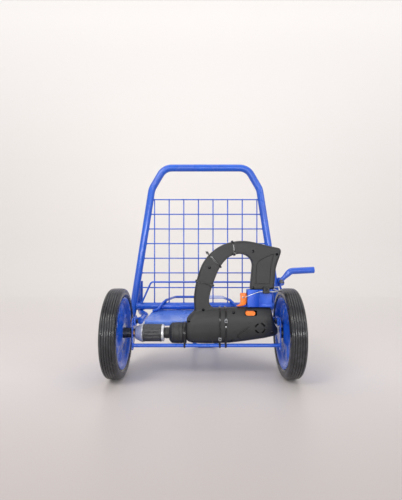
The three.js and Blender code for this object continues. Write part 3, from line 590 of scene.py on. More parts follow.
@dataclass(frozen=True)
class Finish:
    """A surface finish with two close tones, a fine grain and a changing gloss.

    The tones drift over cloud_mm, the grain stands grain_depth_mm high every grain_mm, and the
    roughness swings by rough_swing about its mean.
    """

    name: str
    slot: str
    tone: str
    second_tone: str
    metallic: float = 0.0
    roughness: float = 0.5
    rough_swing: float = 0.08
    grain_mm: float = 1.5
    grain_depth_mm: float = 0.02
    cloud_mm: float = 60.0
    coat: float = 0.0
    coat_roughness: float = 0.1
    ior: float = 1.5

    def build(self) -> Coat:
        """Make the material, with its patterns on Object coordinates."""
        material = bpy.data.materials.new(self.name)
        material.use_nodes = True
        tree = material.node_tree
        tree.nodes.clear()
        place_at = add_node(tree, "ShaderNodeTexCoord").outputs["Object"]
        cloud = add_node(tree, "ShaderNodeTexNoise", None, {
            "Vector": place_at, "Scale": 1000.0 / self.cloud_mm, "Detail": 3.0, "Roughness": 0.55})
        share = add_node(tree, "ShaderNodeMapRange", None, {
            "Value": cloud.outputs["Fac"], "From Min": 0.35, "From Max": 0.65})
        colour = add_node(tree, "ShaderNodeMix", {"data_type": "RGBA"}, {
            "Factor": share.outputs["Result"], 6: linear(self.tone), 7: linear(self.second_tone)})
        grain = add_node(tree, "ShaderNodeTexNoise", None, {
            "Vector": place_at, "Scale": 1000.0 / self.grain_mm, "Detail": 2.0})
        gloss = add_node(tree, "ShaderNodeMapRange", None,
                         {"Value": cloud.outputs["Fac"], "From Min": 0.3, "From Max": 0.7,
                          "To Min": self.roughness - self.rough_swing,
                          "To Max": self.roughness + self.rough_swing})
        tint = self.tint(tree, place_at, colour.outputs[2])
        height = self.relief(tree, place_at, grain.outputs["Fac"])
        bump = add_node(tree, "ShaderNodeBump", None, {
            "Height": height, "Strength": 1.0, "Distance": self.grain_depth_mm / 1000.0})
        shader = add_node(tree, "ShaderNodeBsdfPrincipled", None,
                          {"Base Color": tint, "Roughness": gloss.outputs["Result"],
                           "Normal": bump.outputs["Normal"], "Metallic": self.metallic,
                           "Coat Weight": self.coat, "Coat Roughness": self.coat_roughness})
        if self.metallic < 0.5:
            shader.inputs["IOR"].default_value = self.ior
        add_node(tree, "ShaderNodeOutputMaterial", None, {"Surface": shader.outputs["BSDF"]})
        return Coat(self.slot, material)

    def tint(self, tree: bpy.types.NodeTree, place_at: bpy.types.NodeSocket,
             colour: bpy.types.NodeSocket) -> bpy.types.NodeSocket:
        """Colour after any marks of this kind of finish; plain finishes have none."""
        return colour

    def relief(self, tree: bpy.types.NodeTree, place_at: bpy.types.NodeSocket,
               grain: bpy.types.NodeSocket) -> bpy.types.NodeSocket:
        """Height that drives the bump; plain finishes use the grain alone."""
        return grain


@dataclass(frozen=True)
class PowderCoat(Finish):
    """Baked powder paint: a faint orange peel, small nibs of dust, and a clear skin over it."""

    nib_mm: float = 9.0

    def tint(self, tree: bpy.types.NodeTree, place_at: bpy.types.NodeSocket,
             colour: bpy.types.NodeSocket) -> bpy.types.NodeSocket:
        """Scatter darker nibs a tenth of their spacing across."""
        cells = add_node(tree, "ShaderNodeTexVoronoi", None, {
            "Vector": place_at, "Scale": 1000.0 / self.nib_mm, "Randomness": 1.0})
        spot = add_node(tree, "ShaderNodeMapRange", None, {
            "Value": cells.outputs["Distance"], "From Min": 0.05, "From Max": 0.1,
            "To Min": 0.35, "To Max": 0.0})
        dark = add_node(tree, "ShaderNodeMix", {"data_type": "RGBA"}, {
            "Factor": spot.outputs["Result"], 6: colour, 7: linear("#14358f")})
        return dark.outputs[2]


@dataclass(frozen=True)
class TurnedMetal(Finish):
    """Metal turned in a lathe: fine rings round X at the feed of the tool."""

    feed_mm: float = 0.9

    def relief(self, tree: bpy.types.NodeTree, place_at: bpy.types.NodeSocket,
               grain: bpy.types.NodeSocket) -> bpy.types.NodeSocket:
        """Add the tool's rings to the grain."""
        rings = add_node(tree, "ShaderNodeTexWave", {"wave_type": "BANDS", "bands_direction": "X"},
                         {"Vector": place_at, "Scale": 1000.0 / self.feed_mm * math.pi / 10.0,
                          "Distortion": 0.6})
        both = add_node(tree, "ShaderNodeMath", {"operation": "ADD"}, {
            0: grain, 1: rings.outputs["Fac"]})
        return both.outputs["Value"]


@dataclass(frozen=True)
class TyreRubber(Finish):
    """Cured black rubber: greyed by bloom and dust, with fine cracks of the mould's texture."""

    dust: str = "#606164"

    def tint(self, tree: bpy.types.NodeTree, place_at: bpy.types.NodeSocket,
             colour: bpy.types.NodeSocket) -> bpy.types.NodeSocket:
        """Dust the rubber in soft patches."""
        patches = add_node(tree, "ShaderNodeTexNoise", None, {
            "Vector": place_at, "Scale": 1000.0 / 22.0, "Detail": 6.0, "Roughness": 0.7})
        amount = add_node(tree, "ShaderNodeMapRange", None, {
            "Value": patches.outputs["Fac"], "From Min": 0.5, "From Max": 0.8, "To Max": 0.3})
        mixed = add_node(tree, "ShaderNodeMix", {"data_type": "RGBA"}, {
            "Factor": amount.outputs["Result"], 6: colour, 7: linear(self.dust)})
        return mixed.outputs[2]


@dataclass(frozen=True)
class MouldedPlastic(Finish):
    """Injection-moulded plastic: a spark-eroded grain and faint polish where hands rub it."""

    spark_mm: float = 1.1

    def relief(self, tree: bpy.types.NodeTree, place_at: bpy.types.NodeSocket,
               grain: bpy.types.NodeSocket) -> bpy.types.NodeSocket:
        """Add the pits of the eroded mould, about twice as coarse as real so that they show."""
        pits = add_node(tree, "ShaderNodeTexVoronoi", {"feature": "SMOOTH_F1"}, {
            "Vector": place_at, "Scale": 1000.0 / self.spark_mm, "Smoothness": 0.6})
        both = add_node(tree, "ShaderNodeMath", {"operation": "ADD"}, {
            0: grain, 1: pits.outputs["Distance"]})
        return both.outputs["Value"]


class Palette:
    """The finishes of the cart, built once."""

    def __init__(self) -> None:
        """Build every finish."""
        # Blue polyester powder coat on steel tube: glossy, with a faint peel.
        self.blue = PowderCoat("blue_powder_coat", "blue_gloss_paint", "#1e5ac8", "#1a50bc",
                               roughness=0.28, rough_swing=0.06, grain_mm=2.6, grain_depth_mm=0.05,
                               coat=0.35, coat_roughness=0.12).build()
        # The same coat on the tray's sheet, paler as a painted sheen for the light it reflects.
        self.tray = PowderCoat("sheen_painted_blue_powder_coat", "blue_gloss_paint", "#6488dc", "#4672d0",
                               roughness=0.3, rough_swing=0.1, grain_mm=3.0, grain_depth_mm=0.05,
                               cloud_mm=90.0, coat=0.3, coat_roughness=0.18).build()
        # Vulcanised rubber with a bloomed, dusty skin.
        self.rubber = TyreRubber("vulcanised_rubber", "tyre_rubber", "#1e1f22", "#2a2b2e",
                                 roughness=0.22, rough_swing=0.05, grain_mm=1.4,
                                 grain_depth_mm=0.06, cloud_mm=35.0).build()
        # Zinc-plated steel, turned: bright with a slight warm tint.
        self.plated = TurnedMetal("zinc_plated_steel", "plated_steel", "#e2e3e6", "#cdcfd2",
                                  metallic=0.72, roughness=0.34, rough_swing=0.08, grain_mm=2.0,
                                  grain_depth_mm=0.03, cloud_mm=18.0).build()
        # Black-oxide steel of bolts, hubs and jaws: dark with a low oily gloss.
        self.oxide = TurnedMetal("black_oxide_steel", "dark_steel", "#57595d", "#3f4145",
                                 metallic=1.0, roughness=0.38, rough_swing=0.1, grain_mm=1.2,
                                 grain_depth_mm=0.03, cloud_mm=12.0).build()
        # Turned brass, slightly dulled.
        self.brass = TurnedMetal("turned_brass", "brass", "#c79a4b", "#a67a34", metallic=1.0,
                                 roughness=0.3, rough_swing=0.1, grain_mm=1.6,
                                 grain_depth_mm=0.02, cloud_mm=10.0).build()
        # Glass-filled nylon housing: charcoal, matte, finely pitted.
        self.housing = MouldedPlastic("charcoal_glass_filled_nylon", "charcoal_plastic", "#1b1c1e",
                                      "#242527", roughness=0.5, rough_swing=0.06, grain_mm=1.8,
                                      grain_depth_mm=0.09, cloud_mm=50.0).build()
        # Black nylon of small mouldings inside and round the drill.
        self.nylon = MouldedPlastic("black_nylon", "black_plastic", "#1d1e20", "#26272a",
                                    roughness=0.42, rough_swing=0.08, grain_mm=2.0,
                                    grain_depth_mm=0.05, cloud_mm=20.0, spark_mm=1.6).build()
        # Natural nylon of the ties' locks: greyed and a little translucent looking.
        self.lock = Finish("tie_lock_nylon", "tie_nylon", "#8d8f94", "#7a7c81", roughness=0.3,
                           rough_swing=0.06, grain_mm=2.4, grain_depth_mm=0.02, cloud_mm=6.0,
                           coat=0.2).build()
        # Extruded cable-tie nylon: black and shiny.
        self.tie = Finish("cable_tie_nylon", "tie_nylon", "#0c0c0e", "#151517", roughness=0.22,
                          rough_swing=0.05, grain_mm=3.0, grain_depth_mm=0.03, cloud_mm=14.0,
                          coat=0.2).build()
        # Orange ABS of the trigger and slider: glossy moulded plastic.
        self.orange = MouldedPlastic("orange_abs", "orange_plastic", "#f5822b", "#ee7420",
                                     roughness=0.34, rough_swing=0.06, grain_mm=2.2,
                                     grain_depth_mm=0.03, cloud_mm=16.0, spark_mm=1.4).build()
        # Blue ABS of the block under the grip: satin moulded plastic.
        self.blue_abs = MouldedPlastic("blue_abs", "blue_plastic", "#2450c4", "#2e60d2",
                                       roughness=0.4, rough_swing=0.08, grain_mm=2.0,
                                       grain_depth_mm=0.04, cloud_mm=30.0, spark_mm=1.4).build()
        # Grey PVC of the cable's sheath: smooth, a little translucent looking.
        self.sheath = Finish("grey_pvc", "cable_sheath", "#a9acb4", "#92959e", roughness=0.36,
                             rough_swing=0.06, grain_mm=2.5, grain_depth_mm=0.02,
                             cloud_mm=25.0).build()
        # Rubbery moulded grip of the chuck's sleeve.
        self.grip = MouldedPlastic("moulded_grip_rubber", "chuck_rubber", "#38393c", "#2c2d30",
                                   roughness=0.3, rough_swing=0.07, grain_mm=1.6,
                                   grain_depth_mm=0.06, cloud_mm=15.0).build()


# ---- Wheels ----


@dataclass
class Wheel:
    """A barrow wheel: ribbed tyre and two pressed discs on a hub.

    tread_grooves counts the grooves round the tread; emboss is how far the discs' ribs stand.
    """

    side: str
    centre_x: float
    body: str
    radius: float = 127.0
    width: float = 44.5
    rim_radius: float = 101.0
    disc_sheet: float = 2.0
    hub_radius: float = 14.5
    tread_grooves: int = 7
    groove_depth: float = 2.4
    emboss: float = 4.5
    emboss_ribs: int = 8

    def centre(self) -> tuple[float, float, float]:
        """Middle of the wheel, in cart millimetres."""
        return (self.centre_x, 0.0, LAYOUT.axle_z)

    def tyre_profile(self) -> list[Point]:
        """Closed section of the tyre.

        The crown is r = R - c (x / w)^2 - c6 (x / w)^8, cut by grooves
        d |cos(pi k x / w)|^p that fade at the shoulders; the sidewall carries two raised rings.

        Returns:
            The section's (x, radius) points.
        """
        half = self.width / 2
        x = np.linspace(-half + 0.9, half - 0.9, 150)
        share = x / half
        crown = self.radius - 1.6 * share ** 2 - 8.5 * np.abs(share) ** 9
        wave = np.abs(np.cos(math.pi * self.tread_grooves * (share + 1) / 2)) ** 0.5
        groove = self.groove_depth * (1 - wave) * np.clip((0.86 - np.abs(share)) / 0.06, 0, 1)
        tread = np.stack([x, crown - groove], axis=-1)
        r = np.linspace(self.radius - 12.5, self.rim_radius + 7, 26)
        bulge = half - 0.5 * ((r - (self.rim_radius + 12)) / 8) ** 2
        rings = 0.55 * np.exp(-((r - 116.5) / 0.8) ** 2) + 0.45 * np.exp(-((r - 108.8) / 0.7) ** 2)
        wall = np.stack([np.minimum(bulge, half - 0.55) + rings, r], axis=-1)
        bead = np.array([[half - 0.9, self.rim_radius + 5], [half - 1.7, self.rim_radius + 3.4],
                         [half - 3.0, self.rim_radius + 2.4], [17.0, self.rim_radius - 0.6],
                         [13.6, self.rim_radius - 6.5], [10.0, self.rim_radius - 13]])
        right = np.vstack([wall, bead])
        left = right[::-1] * np.array([-1.0, 1.0])
        return np.vstack([left, tread, right]).tolist()

    def disc(self, side: float) -> Surface:
        """One pressed disc with ribs that slant outwards from its hub.

        The face's x is raised by e max(0, cos(n t + 2.2 s))^3 sin(pi s)^0.7, with s running from 0
        at the inner fold to 1 at the outer fold.

        Args:
            side: +1 for the right disc, -1 for the left one.

        Returns:
            The disc's closed skin.
        """
        r = np.array([15.4, 20, 26, 28.5, 33, 38, 43, 47, 50, 54, 58, 62, 66, 70, 74, 78, 80.5,
                      83.5, 87, 90.5, 93, 95.5, 98, 100.2, 100.8])
        fold = np.array([[15.4, 16.4], [26, 16.4], [28.5, 15.4], [47, 9.0], [50, 8.3], [80, 7.4],
                         [83.5, 8.6], [90.5, 14.6], [93, 16.4], [100.8, 17.6]])
        x = np.interp(r, fold[:, 0], fold[:, 1])
        loop = np.vstack([np.stack([x, r], -1), np.stack([x + self.disc_sheet, r], -1)[::-1]])

        def shape(px: Array, pr: Array, t: Array) -> tuple[Array, Array]:
            """Raise the ribs on both faces of the sheet."""
            s = np.clip((pr - 44) / 38, 0, 1)
            rib = np.maximum(0.0, np.cos(self.emboss_ribs * t + 2.2 * s * side)) ** 3
            return px + self.emboss * rib * np.sin(math.pi * s) ** 0.7, pr

        made = turned_profile(loop.tolist(), 160, (0.0, 0.0, 0.0), shape)
        made.points = made.points * np.array([side, 1.0, 1.0]) + np.asarray(self.centre())
        return made

    def hub(self, inner: float, outer: float, bore: float) -> Surface:
        """Hub barrel with a sealing ring at each disc and a grease groove."""
        low, high = sorted((inner, outer))
        r = self.hub_radius
        profile = [(low, bore), (low, r - 1.6), (low + 0.5, r - 0.6), (low + 1.6, r),
                   (low + 5, r), (low + 5.6, r - 1.0), (low + 8.2, r - 1.0), (low + 8.8, r),
                   (high - 8.8, r), (high - 8.2, r - 1.0), (high - 5.6, r - 1.0), (high - 5, r),
                   (high - 1.6, r), (high - 0.5, r - 0.6), (high, r - 1.6), (high, bore)]
        return turned_profile(profile, 64, (0.0, 0.0, LAYOUT.axle_z))

    def seal_ring(self) -> Surface:
        """Seal ring on the outer disc, a short turned collar round the hub."""
        sign = 1.0 if self.side == "right" else -1.0
        x0 = self.centre_x + sign * 18.7
        profile = [(x0, 15.5), (x0 + sign * 1.6, 15.5), (x0 + sign * 1.9, 16.2),
                   (x0 + sign * 1.4, 20.4), (x0 + sign * 0.2, 21.0), (x0, 20.6)]
        return turned_profile(profile, 64, (0.0, 0.0, LAYOUT.axle_z))

    def build(self, palette: Palette) -> None:
        """Make and dress the wheel."""
        prefix = self.side + "_"
        put(prefix + "ribbed_tyre", turned_profile(self.tyre_profile(), 200, self.centre()),
            palette.rubber, prefix + "tyre", body=self.body, angle=50)
        for side, word in ((1.0, "right"), (-1.0, "left")):
            put(f"{prefix}pressed_disc_{word}", self.disc(side), palette.blue,
                f"{prefix}disc_{word}", body=self.body, angle=40)
        inner, outer = self.hub_ends()
        put(prefix + "hub_barrel", self.hub(inner, outer, 8.4), palette.oxide, prefix + "hub",
            body=self.body)
        put(prefix + "hub_seal_ring", self.seal_ring(), palette.nylon, body=self.body,
            slot="dark_steel")
        LOG.info("%s wheel: tyre, two discs, hub", self.side)

    def hub_ends(self) -> tuple[float, float]:
        """X of the hub's inner and outer ends."""
        if self.side == "left":
            return -213.6, self.centre_x - 21.0
        return 213.8, self.centre_x + 21.0


@dataclass
class Axles:
    """Drive shaft, bush, stub axle and the two wheel nuts."""

    left_nut_x: float = -275.8
    right_nut_x: float = 256.8
    nut_across: float = 22.5
    nut_height: float = 8.2
    nut_bore: float = 8.4

    def drive_shaft(self) -> Surface:
        """Shaft from the wheel nut to the chuck: a threaded end, a plain run and a thin shank."""
        z = LAYOUT.axle_z
        x = np.array([-287.0, -286.2, -270.0, -269.5, -203.0, -202.0, -201.4, -165.0, -164.0])
        r = np.array([6.8, 7.9, 7.9, 8.0, 8.0, 7.4, 5.0, 5.0, 4.2])
        path = np.stack([x, 0 * x, 0 * x + z], axis=-1)
        return swept(path, r, 40)

    def build(self, palette: Palette) -> None:
        """Make and dress the axle pieces."""
        z = LAYOUT.axle_z
        put("turned_drive_shaft", self.drive_shaft(), palette.plated, "drive_shaft",
            body="drive_wheel", angle=30)
        flange = -LAYOUT.plate_outer - 0.3
        bush = turned_profile([
            (flange - 4, 8.3), (flange - 4, 14.6), (flange - 3.4, 15.6), (flange - 2.6, 16.0),
            (flange, 16.0), (flange, 11.0), (-203.5, 11.0), (-203.5, 8.3)], 72, (0, 0, z))
        put("flanged_bush", bush, palette.brass, "left_axle_bush")
        left = Surface.join([hex_piece((self.left_nut_x, 0, z), -1, self.nut_across,
                                       self.nut_height, self.nut_bore),
                             turned_profile([(-275.7, 8.4), (-275.7, 13.0), (-275.2, 13.4),
                                             (-275.2, 8.4)], 48, (0, 0, z))])
        put("left_hex_nut", left, palette.plated, "left_wheel_nut", body="drive_wheel", angle=30)
        right = hex_piece((self.right_nut_x, 0, z), 1, self.nut_across, self.nut_height,
                          self.nut_bore)
        put("right_hex_nut", right, palette.plated, "right_wheel_nut", angle=30)
        stub = turned_profile([
            (209.3, 2.0), (209.3, 15.4), (209.9, 16.0), (212.7, 16.0), (213.3, 15.4), (213.3, 8.0),
            (266.5, 7.9), (268.0, 6.8), (268.0, 2.0)], 64, (0, 0, z))
        core = turned_profile([(209.3, 0.01), (209.3, 2.0), (268.0, 2.0), (268.0, 0.01)], 16,
                              (0, 0, z))
        put("flanged_stub_axle", Surface.join([stub, core]), palette.oxide, "right_stub_axle",
            angle=30)
        LOG.info("axles: shaft, bush, stub axle, nuts")


# ---- Frame ----


@dataclass
class TubeFrame:
    """Handle loop, cross tube, side rails, axle plates and the lower bar."""

    loop_bends: tuple[float, float, float, float] = (58.0, 46.0, 46.0, 58.0)
    rail_tube: float = 19.0
    rail_wrap: float = 22.8
    rail_top: float = 262.0
    rail_leg: float = 228.0
    plate_edge: float = 0.8
    beads: list[Surface] = field(default_factory=list)

    def loop(self) -> Surface:
        """Handle loop: one tube bent four times, with its feet cut level."""
        side = [LAYOUT.loop_foot, LAYOUT.loop_shoulder, LAYOUT.loop_top]
        left = [(-x, LAYOUT.panel_y, z) for x, z in side]
        right = [(x, LAYOUT.panel_y, z) for x, z in reversed(side)]
        path = bent_path(left + right, self.loop_bends, 3.0)
        return swept(path, LAYOUT.tube / 2, 32, 1.0)

    def rail(self, side: float) -> Surface:
        """Side rail: back from the axle plate, under the cross tube and up behind the upright."""
        x = LAYOUT.plate_inner - self.rail_tube / 2 - 1.5
        leg = LAYOUT.panel_y + self.rail_wrap + 0.8
        z = LAYOUT.cross_z - self.rail_wrap
        path = bent_path([(side * x, 32, z), (side * x, 138, z), (side * self.rail_leg, leg, z),
                          (side * self.rail_leg, leg, self.rail_top)], (60.0, self.rail_wrap), 2.5)
        return swept(path, self.rail_tube / 2, 28, 1.2)

    def tab(self, side: float) -> Surface:
        """Flat tab on the rail's front end that bolts to the axle plate."""
        outline = smooth_profile([(-13, 148.5), (42, 148.5), (42, 162.5), (12, 171), (-13, 171)],
                                 5)
        inner = LAYOUT.plate_inner - 0.3
        low, high = sorted((side * inner, side * (inner - 5)))
        return slab(outline, low, high, "yz")

    def axle_plate(self, side: float) -> Surface:
        """Plate that carries the wheel, with its corners rounded."""
        outline = smooth_profile([(-26, 82), (-12, 82), (4, 100), (30, 122), (45, 146), (45, 165),
                                  (40, 171), (-20, 171), (-26, 165)], 6)
        low, high = sorted((side * LAYOUT.plate_inner, side * LAYOUT.plate_outer))
        return slab(outline, low, high, "yz")

    def welds(self) -> Surface:
        """Weld beads where the tubes, rails, plates and lower bar meet."""
        y, z = LAYOUT.panel_y, LAYOUT.cross_z
        beads = []
        for side in (-1.0, 1.0):
            end = side * (LAYOUT.span(z) - 0.6)
            beads.append(weld_bead((end, y, z), (1, 0, 0), 11.6, 2.0))
            beads.append(weld_bead((side * (LAYOUT.plate_inner - 0.8), LAYOUT.bar_y, LAYOUT.bar_z),
                                   (1, 0, 0), 5.0, 1.5))
            x = side * (LAYOUT.plate_inner - 6.0)
            beads.append(weld_tack((x, 33, 164.6), (x, 46, 164.4), 1.6))
            leg_y = y + 10.6
            beads.append(weld_tack((side * 233.5, leg_y, 190), (side * 229.5, leg_y + 1.2, 218),
                                   2.2))
            beads.append(weld_tack((side * 231.0, leg_y + 0.4, 240),
                                   (side * 229.0, leg_y + 1.0, 257), 2.0))
            beads.append(weld_tack((side * 222, y + 4.5, z - 12.2),
                                   (side * 209, y + 4.5, z - 12.2), 1.8))
        return Surface.join(beads)

    def build(self, palette: Palette) -> None:
        """Make and dress the frame."""
        put("bent_handle_loop", self.loop(), palette.blue, "handle_loop", angle=40)
        half = LAYOUT.span(LAYOUT.cross_z) - 0.2
        cross = straight((-half, LAYOUT.panel_y, LAYOUT.cross_z),
                         (half, LAYOUT.panel_y, LAYOUT.cross_z), LAYOUT.tube / 2, 32)
        put("rear_cross_bar", cross, palette.blue, "rear_cross_tube")
        for side, word in ((-1.0, "left"), (1.0, "right")):
            put(f"{word}_bent_rail", self.rail(side), palette.blue, f"{word}_base_rail", angle=40)
            put(f"{word}_rail_tab", self.tab(side), palette.blue, edge=1.0)
            put(f"{word}_wheel_plate", self.axle_plate(side), palette.blue, f"{word}_axle_plate",
                edge=self.plate_edge)
            self.rail_bolt(palette, side, word)
        bar = straight((-205.7, LAYOUT.bar_y, LAYOUT.bar_z), (205.7, LAYOUT.bar_y, LAYOUT.bar_z),
                       LAYOUT.bar_rod / 2, 24, 0.5)
        put("lower_round_bar", bar, palette.blue, "lower_bar")
        put("frame_weld_beads", self.welds(), palette.blue, angle=60)
        LOG.info("frame: loop, cross tube, rails, plates, lower bar, welds")

    def rail_bolt(self, palette: Palette, side: float, word: str) -> None:
        """Bolt, washer and nut that hold a rail's tab to its plate."""
        head_x = side * (LAYOUT.plate_inner - 5.9)
        at = (head_x, 0.0, 160.0)
        bolt = Surface.join([
            hex_piece(at, -side, 11.4, 4.2, 0.6),
            threaded_end((head_x - side * 0.5, 0.0, 160.0), side * 17.4, 3.9, 1.25)])
        put(f"{word}_tab_bolt", bolt, palette.oxide, f"{word}_rail_bolt", angle=30)
        coat = palette.brass if side < 0 else palette.oxide
        nut = hex_piece((side * (LAYOUT.plate_outer + 0.4), 0.0, 160.0), side, 12.2, 6.4, 4.15)
        put(f"{word}_tab_nut", nut, coat, f"{word}_rail_nut", angle=30)


@dataclass
class MeshBack:
    """Welded wire panel in the handle loop, rows in front and columns behind."""

    pitch: float = 50.0
    wire: float = 4.0
    columns: int = 8
    rows: int = 7

    def build(self, palette: Palette) -> None:
        """Make the panel's wires with a flattened weld at each crossing."""
        foot = LAYOUT.cross_z + LAYOUT.tube / 2 + 0.2
        first = LAYOUT.cross_z + LAYOUT.tube / 2 + self.pitch + 1
        top = first + (self.rows - 1) * self.pitch + 3
        wires = []
        places = [(i - (self.columns - 1) / 2) * self.pitch for i in range(self.columns)]
        heights = [first + i * self.pitch for i in range(self.rows)]
        for x in places:
            wires.append(straight((x, LAYOUT.panel_y + 1.5, foot), (x, LAYOUT.panel_y + 1.5, top),
                                  self.wire / 2, 14, 0.5))
            wires.append(weld_bead((x, LAYOUT.panel_y + 1.5, foot + 0.4), (0, 0, 1), 1.9, 1.0))
        for z in heights:
            half = LAYOUT.span(z) - 0.2
            wires.append(straight((-half, LAYOUT.panel_y - 1.5, z),
                                  (half, LAYOUT.panel_y - 1.5, z), self.wire / 2, 14, 0.3))
            for side in (-1.0, 1.0):
                wires.append(weld_bead((side * (half - 0.5), LAYOUT.panel_y - 1.5, z), (1, 0, 0),
                                       1.9, 1.1))
            wires += [self.spot(x, z) for x in places if abs(x) < half]
        put("welded_wire_panel", Surface.join(wires), palette.blue, "mesh_panel", angle=50)
        LOG.info("mesh back: %d columns, %d rows", self.columns, self.rows)

    def spot(self, x: float, z: float) -> Surface:
        """Squeezed metal at a crossing: an ellipsoid-like bead between the two wires."""
        y = np.array([-1.9, -1.2, 0.0, 1.2, 1.9]) + LAYOUT.panel_y
        size = np.array([1.4, 2.35, 2.6, 2.35, 1.4])
        return swept(np.stack([0 * y + x, y, 0 * y + z], axis=-1), size, 12)


@dataclass
class Tray:
    """Sloped sheet tray with a rolled front lip and a fold along each side."""

    front_y: float = 45.0
    rear_y: float = 200.0
    front_half: float = 184.5
    rear_half: float = 177.0
    front_z: float = 153.5
    rear_z: float = 165.0
    sheet: float = 2.0
    lip: float = 15.0

    def build(self, palette: Palette) -> None:
        """Make the sheet.

        Along its section the top runs back at the slope, bends down over the front edge in an arc
        of 3 mm, and ends at the lip. Across it, x = h(y) v, with h falling from the front half
        width to the rear one, and the middle dips 1.2 (1 - v^2) between its ends.
        """
        slope = (self.rear_z - self.front_z) / (self.rear_y - self.front_y)
        y = np.linspace(self.rear_y, self.front_y + 2.4, 26)
        top = [(a, self.front_z + (a - self.front_y) * slope) for a in y]
        t = np.linspace(0, math.pi / 2, 7)[1:]
        arc = [(self.front_y + 2.4 - 2.9 * math.sin(a),
                self.front_z + 0.18 - 2.9 * (1 - math.cos(a))) for a in t]
        fold = np.linspace(self.front_z - 5, self.front_z - self.lip, 6)
        down = [(self.front_y - 0.5, z) for z in fold]
        outer = np.array(top + arc + down)
        tangent = np.gradient(outer, axis=0)
        tangent /= np.linalg.norm(tangent, axis=1)[:, None]
        inner = outer + np.stack([-tangent[:, 1], tangent[:, 0]], -1) * self.sheet
        section = np.vstack([outer, inner[::-1]])
        v = np.linspace(-1.0, 1.0, 61)[:, None]
        half = np.interp(section[:, 0], [self.front_y, self.rear_y],
                         [self.front_half, self.rear_half])
        behind = np.clip((section[:, 0] - self.front_y) / 60, 0, 1)
        ahead = np.clip((self.rear_y - section[:, 0]) / 30, 0, 1)
        dip = 1.2 * (1 - v ** 2) * behind * ahead
        rows = np.stack([v * half, 0 * v + section[:, 0], section[:, 1] - dip], axis=-1)
        # The sheet's paler blue is a painted sheen.
        put("folded_tray_sheet", Surface.grid(rows), palette.tray, "tray_plate", angle=50)
        tacks = [weld_tack((x, self.rear_y - 4.5, self.rear_z + 0.1),
                           (x + 16, self.rear_y - 4.5, self.rear_z + 0.1), 1.6)
                 for x in (-160, -100, -40, 24, 84, 144)]
        put("tray_tack_welds", Surface.join(tacks), palette.blue, angle=60)
        LOG.info("tray: sheet and tack welds")


@dataclass
class Rods:
    """Guard rod over the tray, carrier rod with its gusset, and the rear stand."""

    guard_rod: float = 6.0
    guard_y: float = 186.0
    carrier_rod: float = 9.0
    carrier_middle: float = -26.0
    stand_tube: float = 14.0
    stand_half: float = 42.0
    stand_y: float = 340.0

    def guard(self) -> Surface:
        """Thin rod that rises from the cross tube on both sides and runs across the tray's back."""
        foot = LAYOUT.cross_z + 10.5
        points = [(-217, self.guard_y, foot), (-185, self.guard_y, 260), (185, self.guard_y, 260),
                  (217, self.guard_y, foot)]
        return swept(bent_path(points, 12.0, 1.5), self.guard_rod / 2, 18, 0.6)

    def carrier(self, tray_top: Callable[[float], float]) -> Surface:
        """Rod that climbs from the tray over the cross tube and loops back behind it."""
        rise = self.carrier_rod / 2 + 0.3
        over = LAYOUT.cross_z + LAYOUT.tube / 2 + rise + 1.2
        side = [(148, 156, tray_top(156) + rise + 0.4), (135, 173.5, tray_top(173.5) + rise + 1.5),
                (121, 177, over - 8.5), (109, LAYOUT.panel_y, over + 2), (86, 300, over + 2)]
        left = [(self.carrier_middle - x, y, z) for x, y, z in side]
        right = [(self.carrier_middle + x, y, z) for x, y, z in reversed(side)]
        bends = (7.0, 7.0, 8.0, 14.0, 14.0, 8.0, 7.0, 7.0)
        return swept(bent_path(left + right, bends, 1.2), self.carrier_rod / 2, 22, 0.8)

    def gusset(self) -> Surface:
        """Flat sheet on the right half of the carrier loop."""
        top = LAYOUT.cross_z + LAYOUT.tube / 2 + self.carrier_rod + 4.3
        y0 = LAYOUT.panel_y + LAYOUT.tube / 2 + 1
        rows = []
        for height in (top - 2.0, top):
            rows.append([(-12, y0, height), (self.carrier_middle + 96, y0, height),
                         (self.carrier_middle + 82, 298, height), (-12, 298, height)])
        return Surface.grid(np.array(rows, float))

    def stand(self) -> tuple[Surface, Surface]:
        """Bent stand tube and the pad that bolts it under the cross tube."""
        top = 165.0 - 2.0 - 12.0
        z = self.stand_tube / 2
        h = self.stand_half
        points = [(-h, LAYOUT.panel_y - 8, top), (-h, self.stand_y, z), (h, self.stand_y, z),
                  (h, LAYOUT.panel_y - 8, top)]
        tube = swept(bent_path(points, 22.0, 2.0), self.stand_tube / 2, 26, 0.8)
        pad = block((-h - 11, LAYOUT.panel_y - 20, top + 3), (h + 11, LAYOUT.panel_y + 2, top + 9))
        return tube, pad

    def build(self, palette: Palette, tray: Tray) -> None:
        """Make and dress the rods and the stand."""
        slope = (tray.rear_z - tray.front_z) / (tray.rear_y - tray.front_y)
        put("bent_guard_rod", self.guard(), palette.blue, "tank_guard_rod", angle=40)
        put("bent_carrier_rod", self.carrier(lambda y: tray.front_z + (y - tray.front_y) * slope),
            palette.blue, "carrier_rod", angle=40)
        # The gusset shares the tray's paler blue, a painted sheen.
        put("carrier_gusset_sheet", self.gusset(), palette.tray, edge=0.6, steps=2)
        tube, pad = self.stand()
        put("bent_stand_tube", tube, palette.blue, "rear_stand", angle=40)
        put("stand_pad", pad, palette.blue, edge=1.2)
        beads = [weld_bead((side * 216.2, self.guard_y, 189.6), (side * -0.4, 0, 1), 2.8, 1.2)
                 for side in (-1.0, 1.0)]
        beads += [weld_bead((side * self.stand_half, LAYOUT.panel_y - 9, 152.6), (0, 0, 1), 6.8,
                            1.5) for side in (-1.0, 1.0)]
        for x in (-135.5, 83.5):
            beads.append(weld_tack((x, 190.5, 190.9), (x + 1.0, 203, 192.4), 1.8))
        put("rod_weld_beads", Surface.join(beads), palette.blue, angle=60)
        LOG.info("rods: guard, carrier, gusset, stand")


# ---- Drill ----


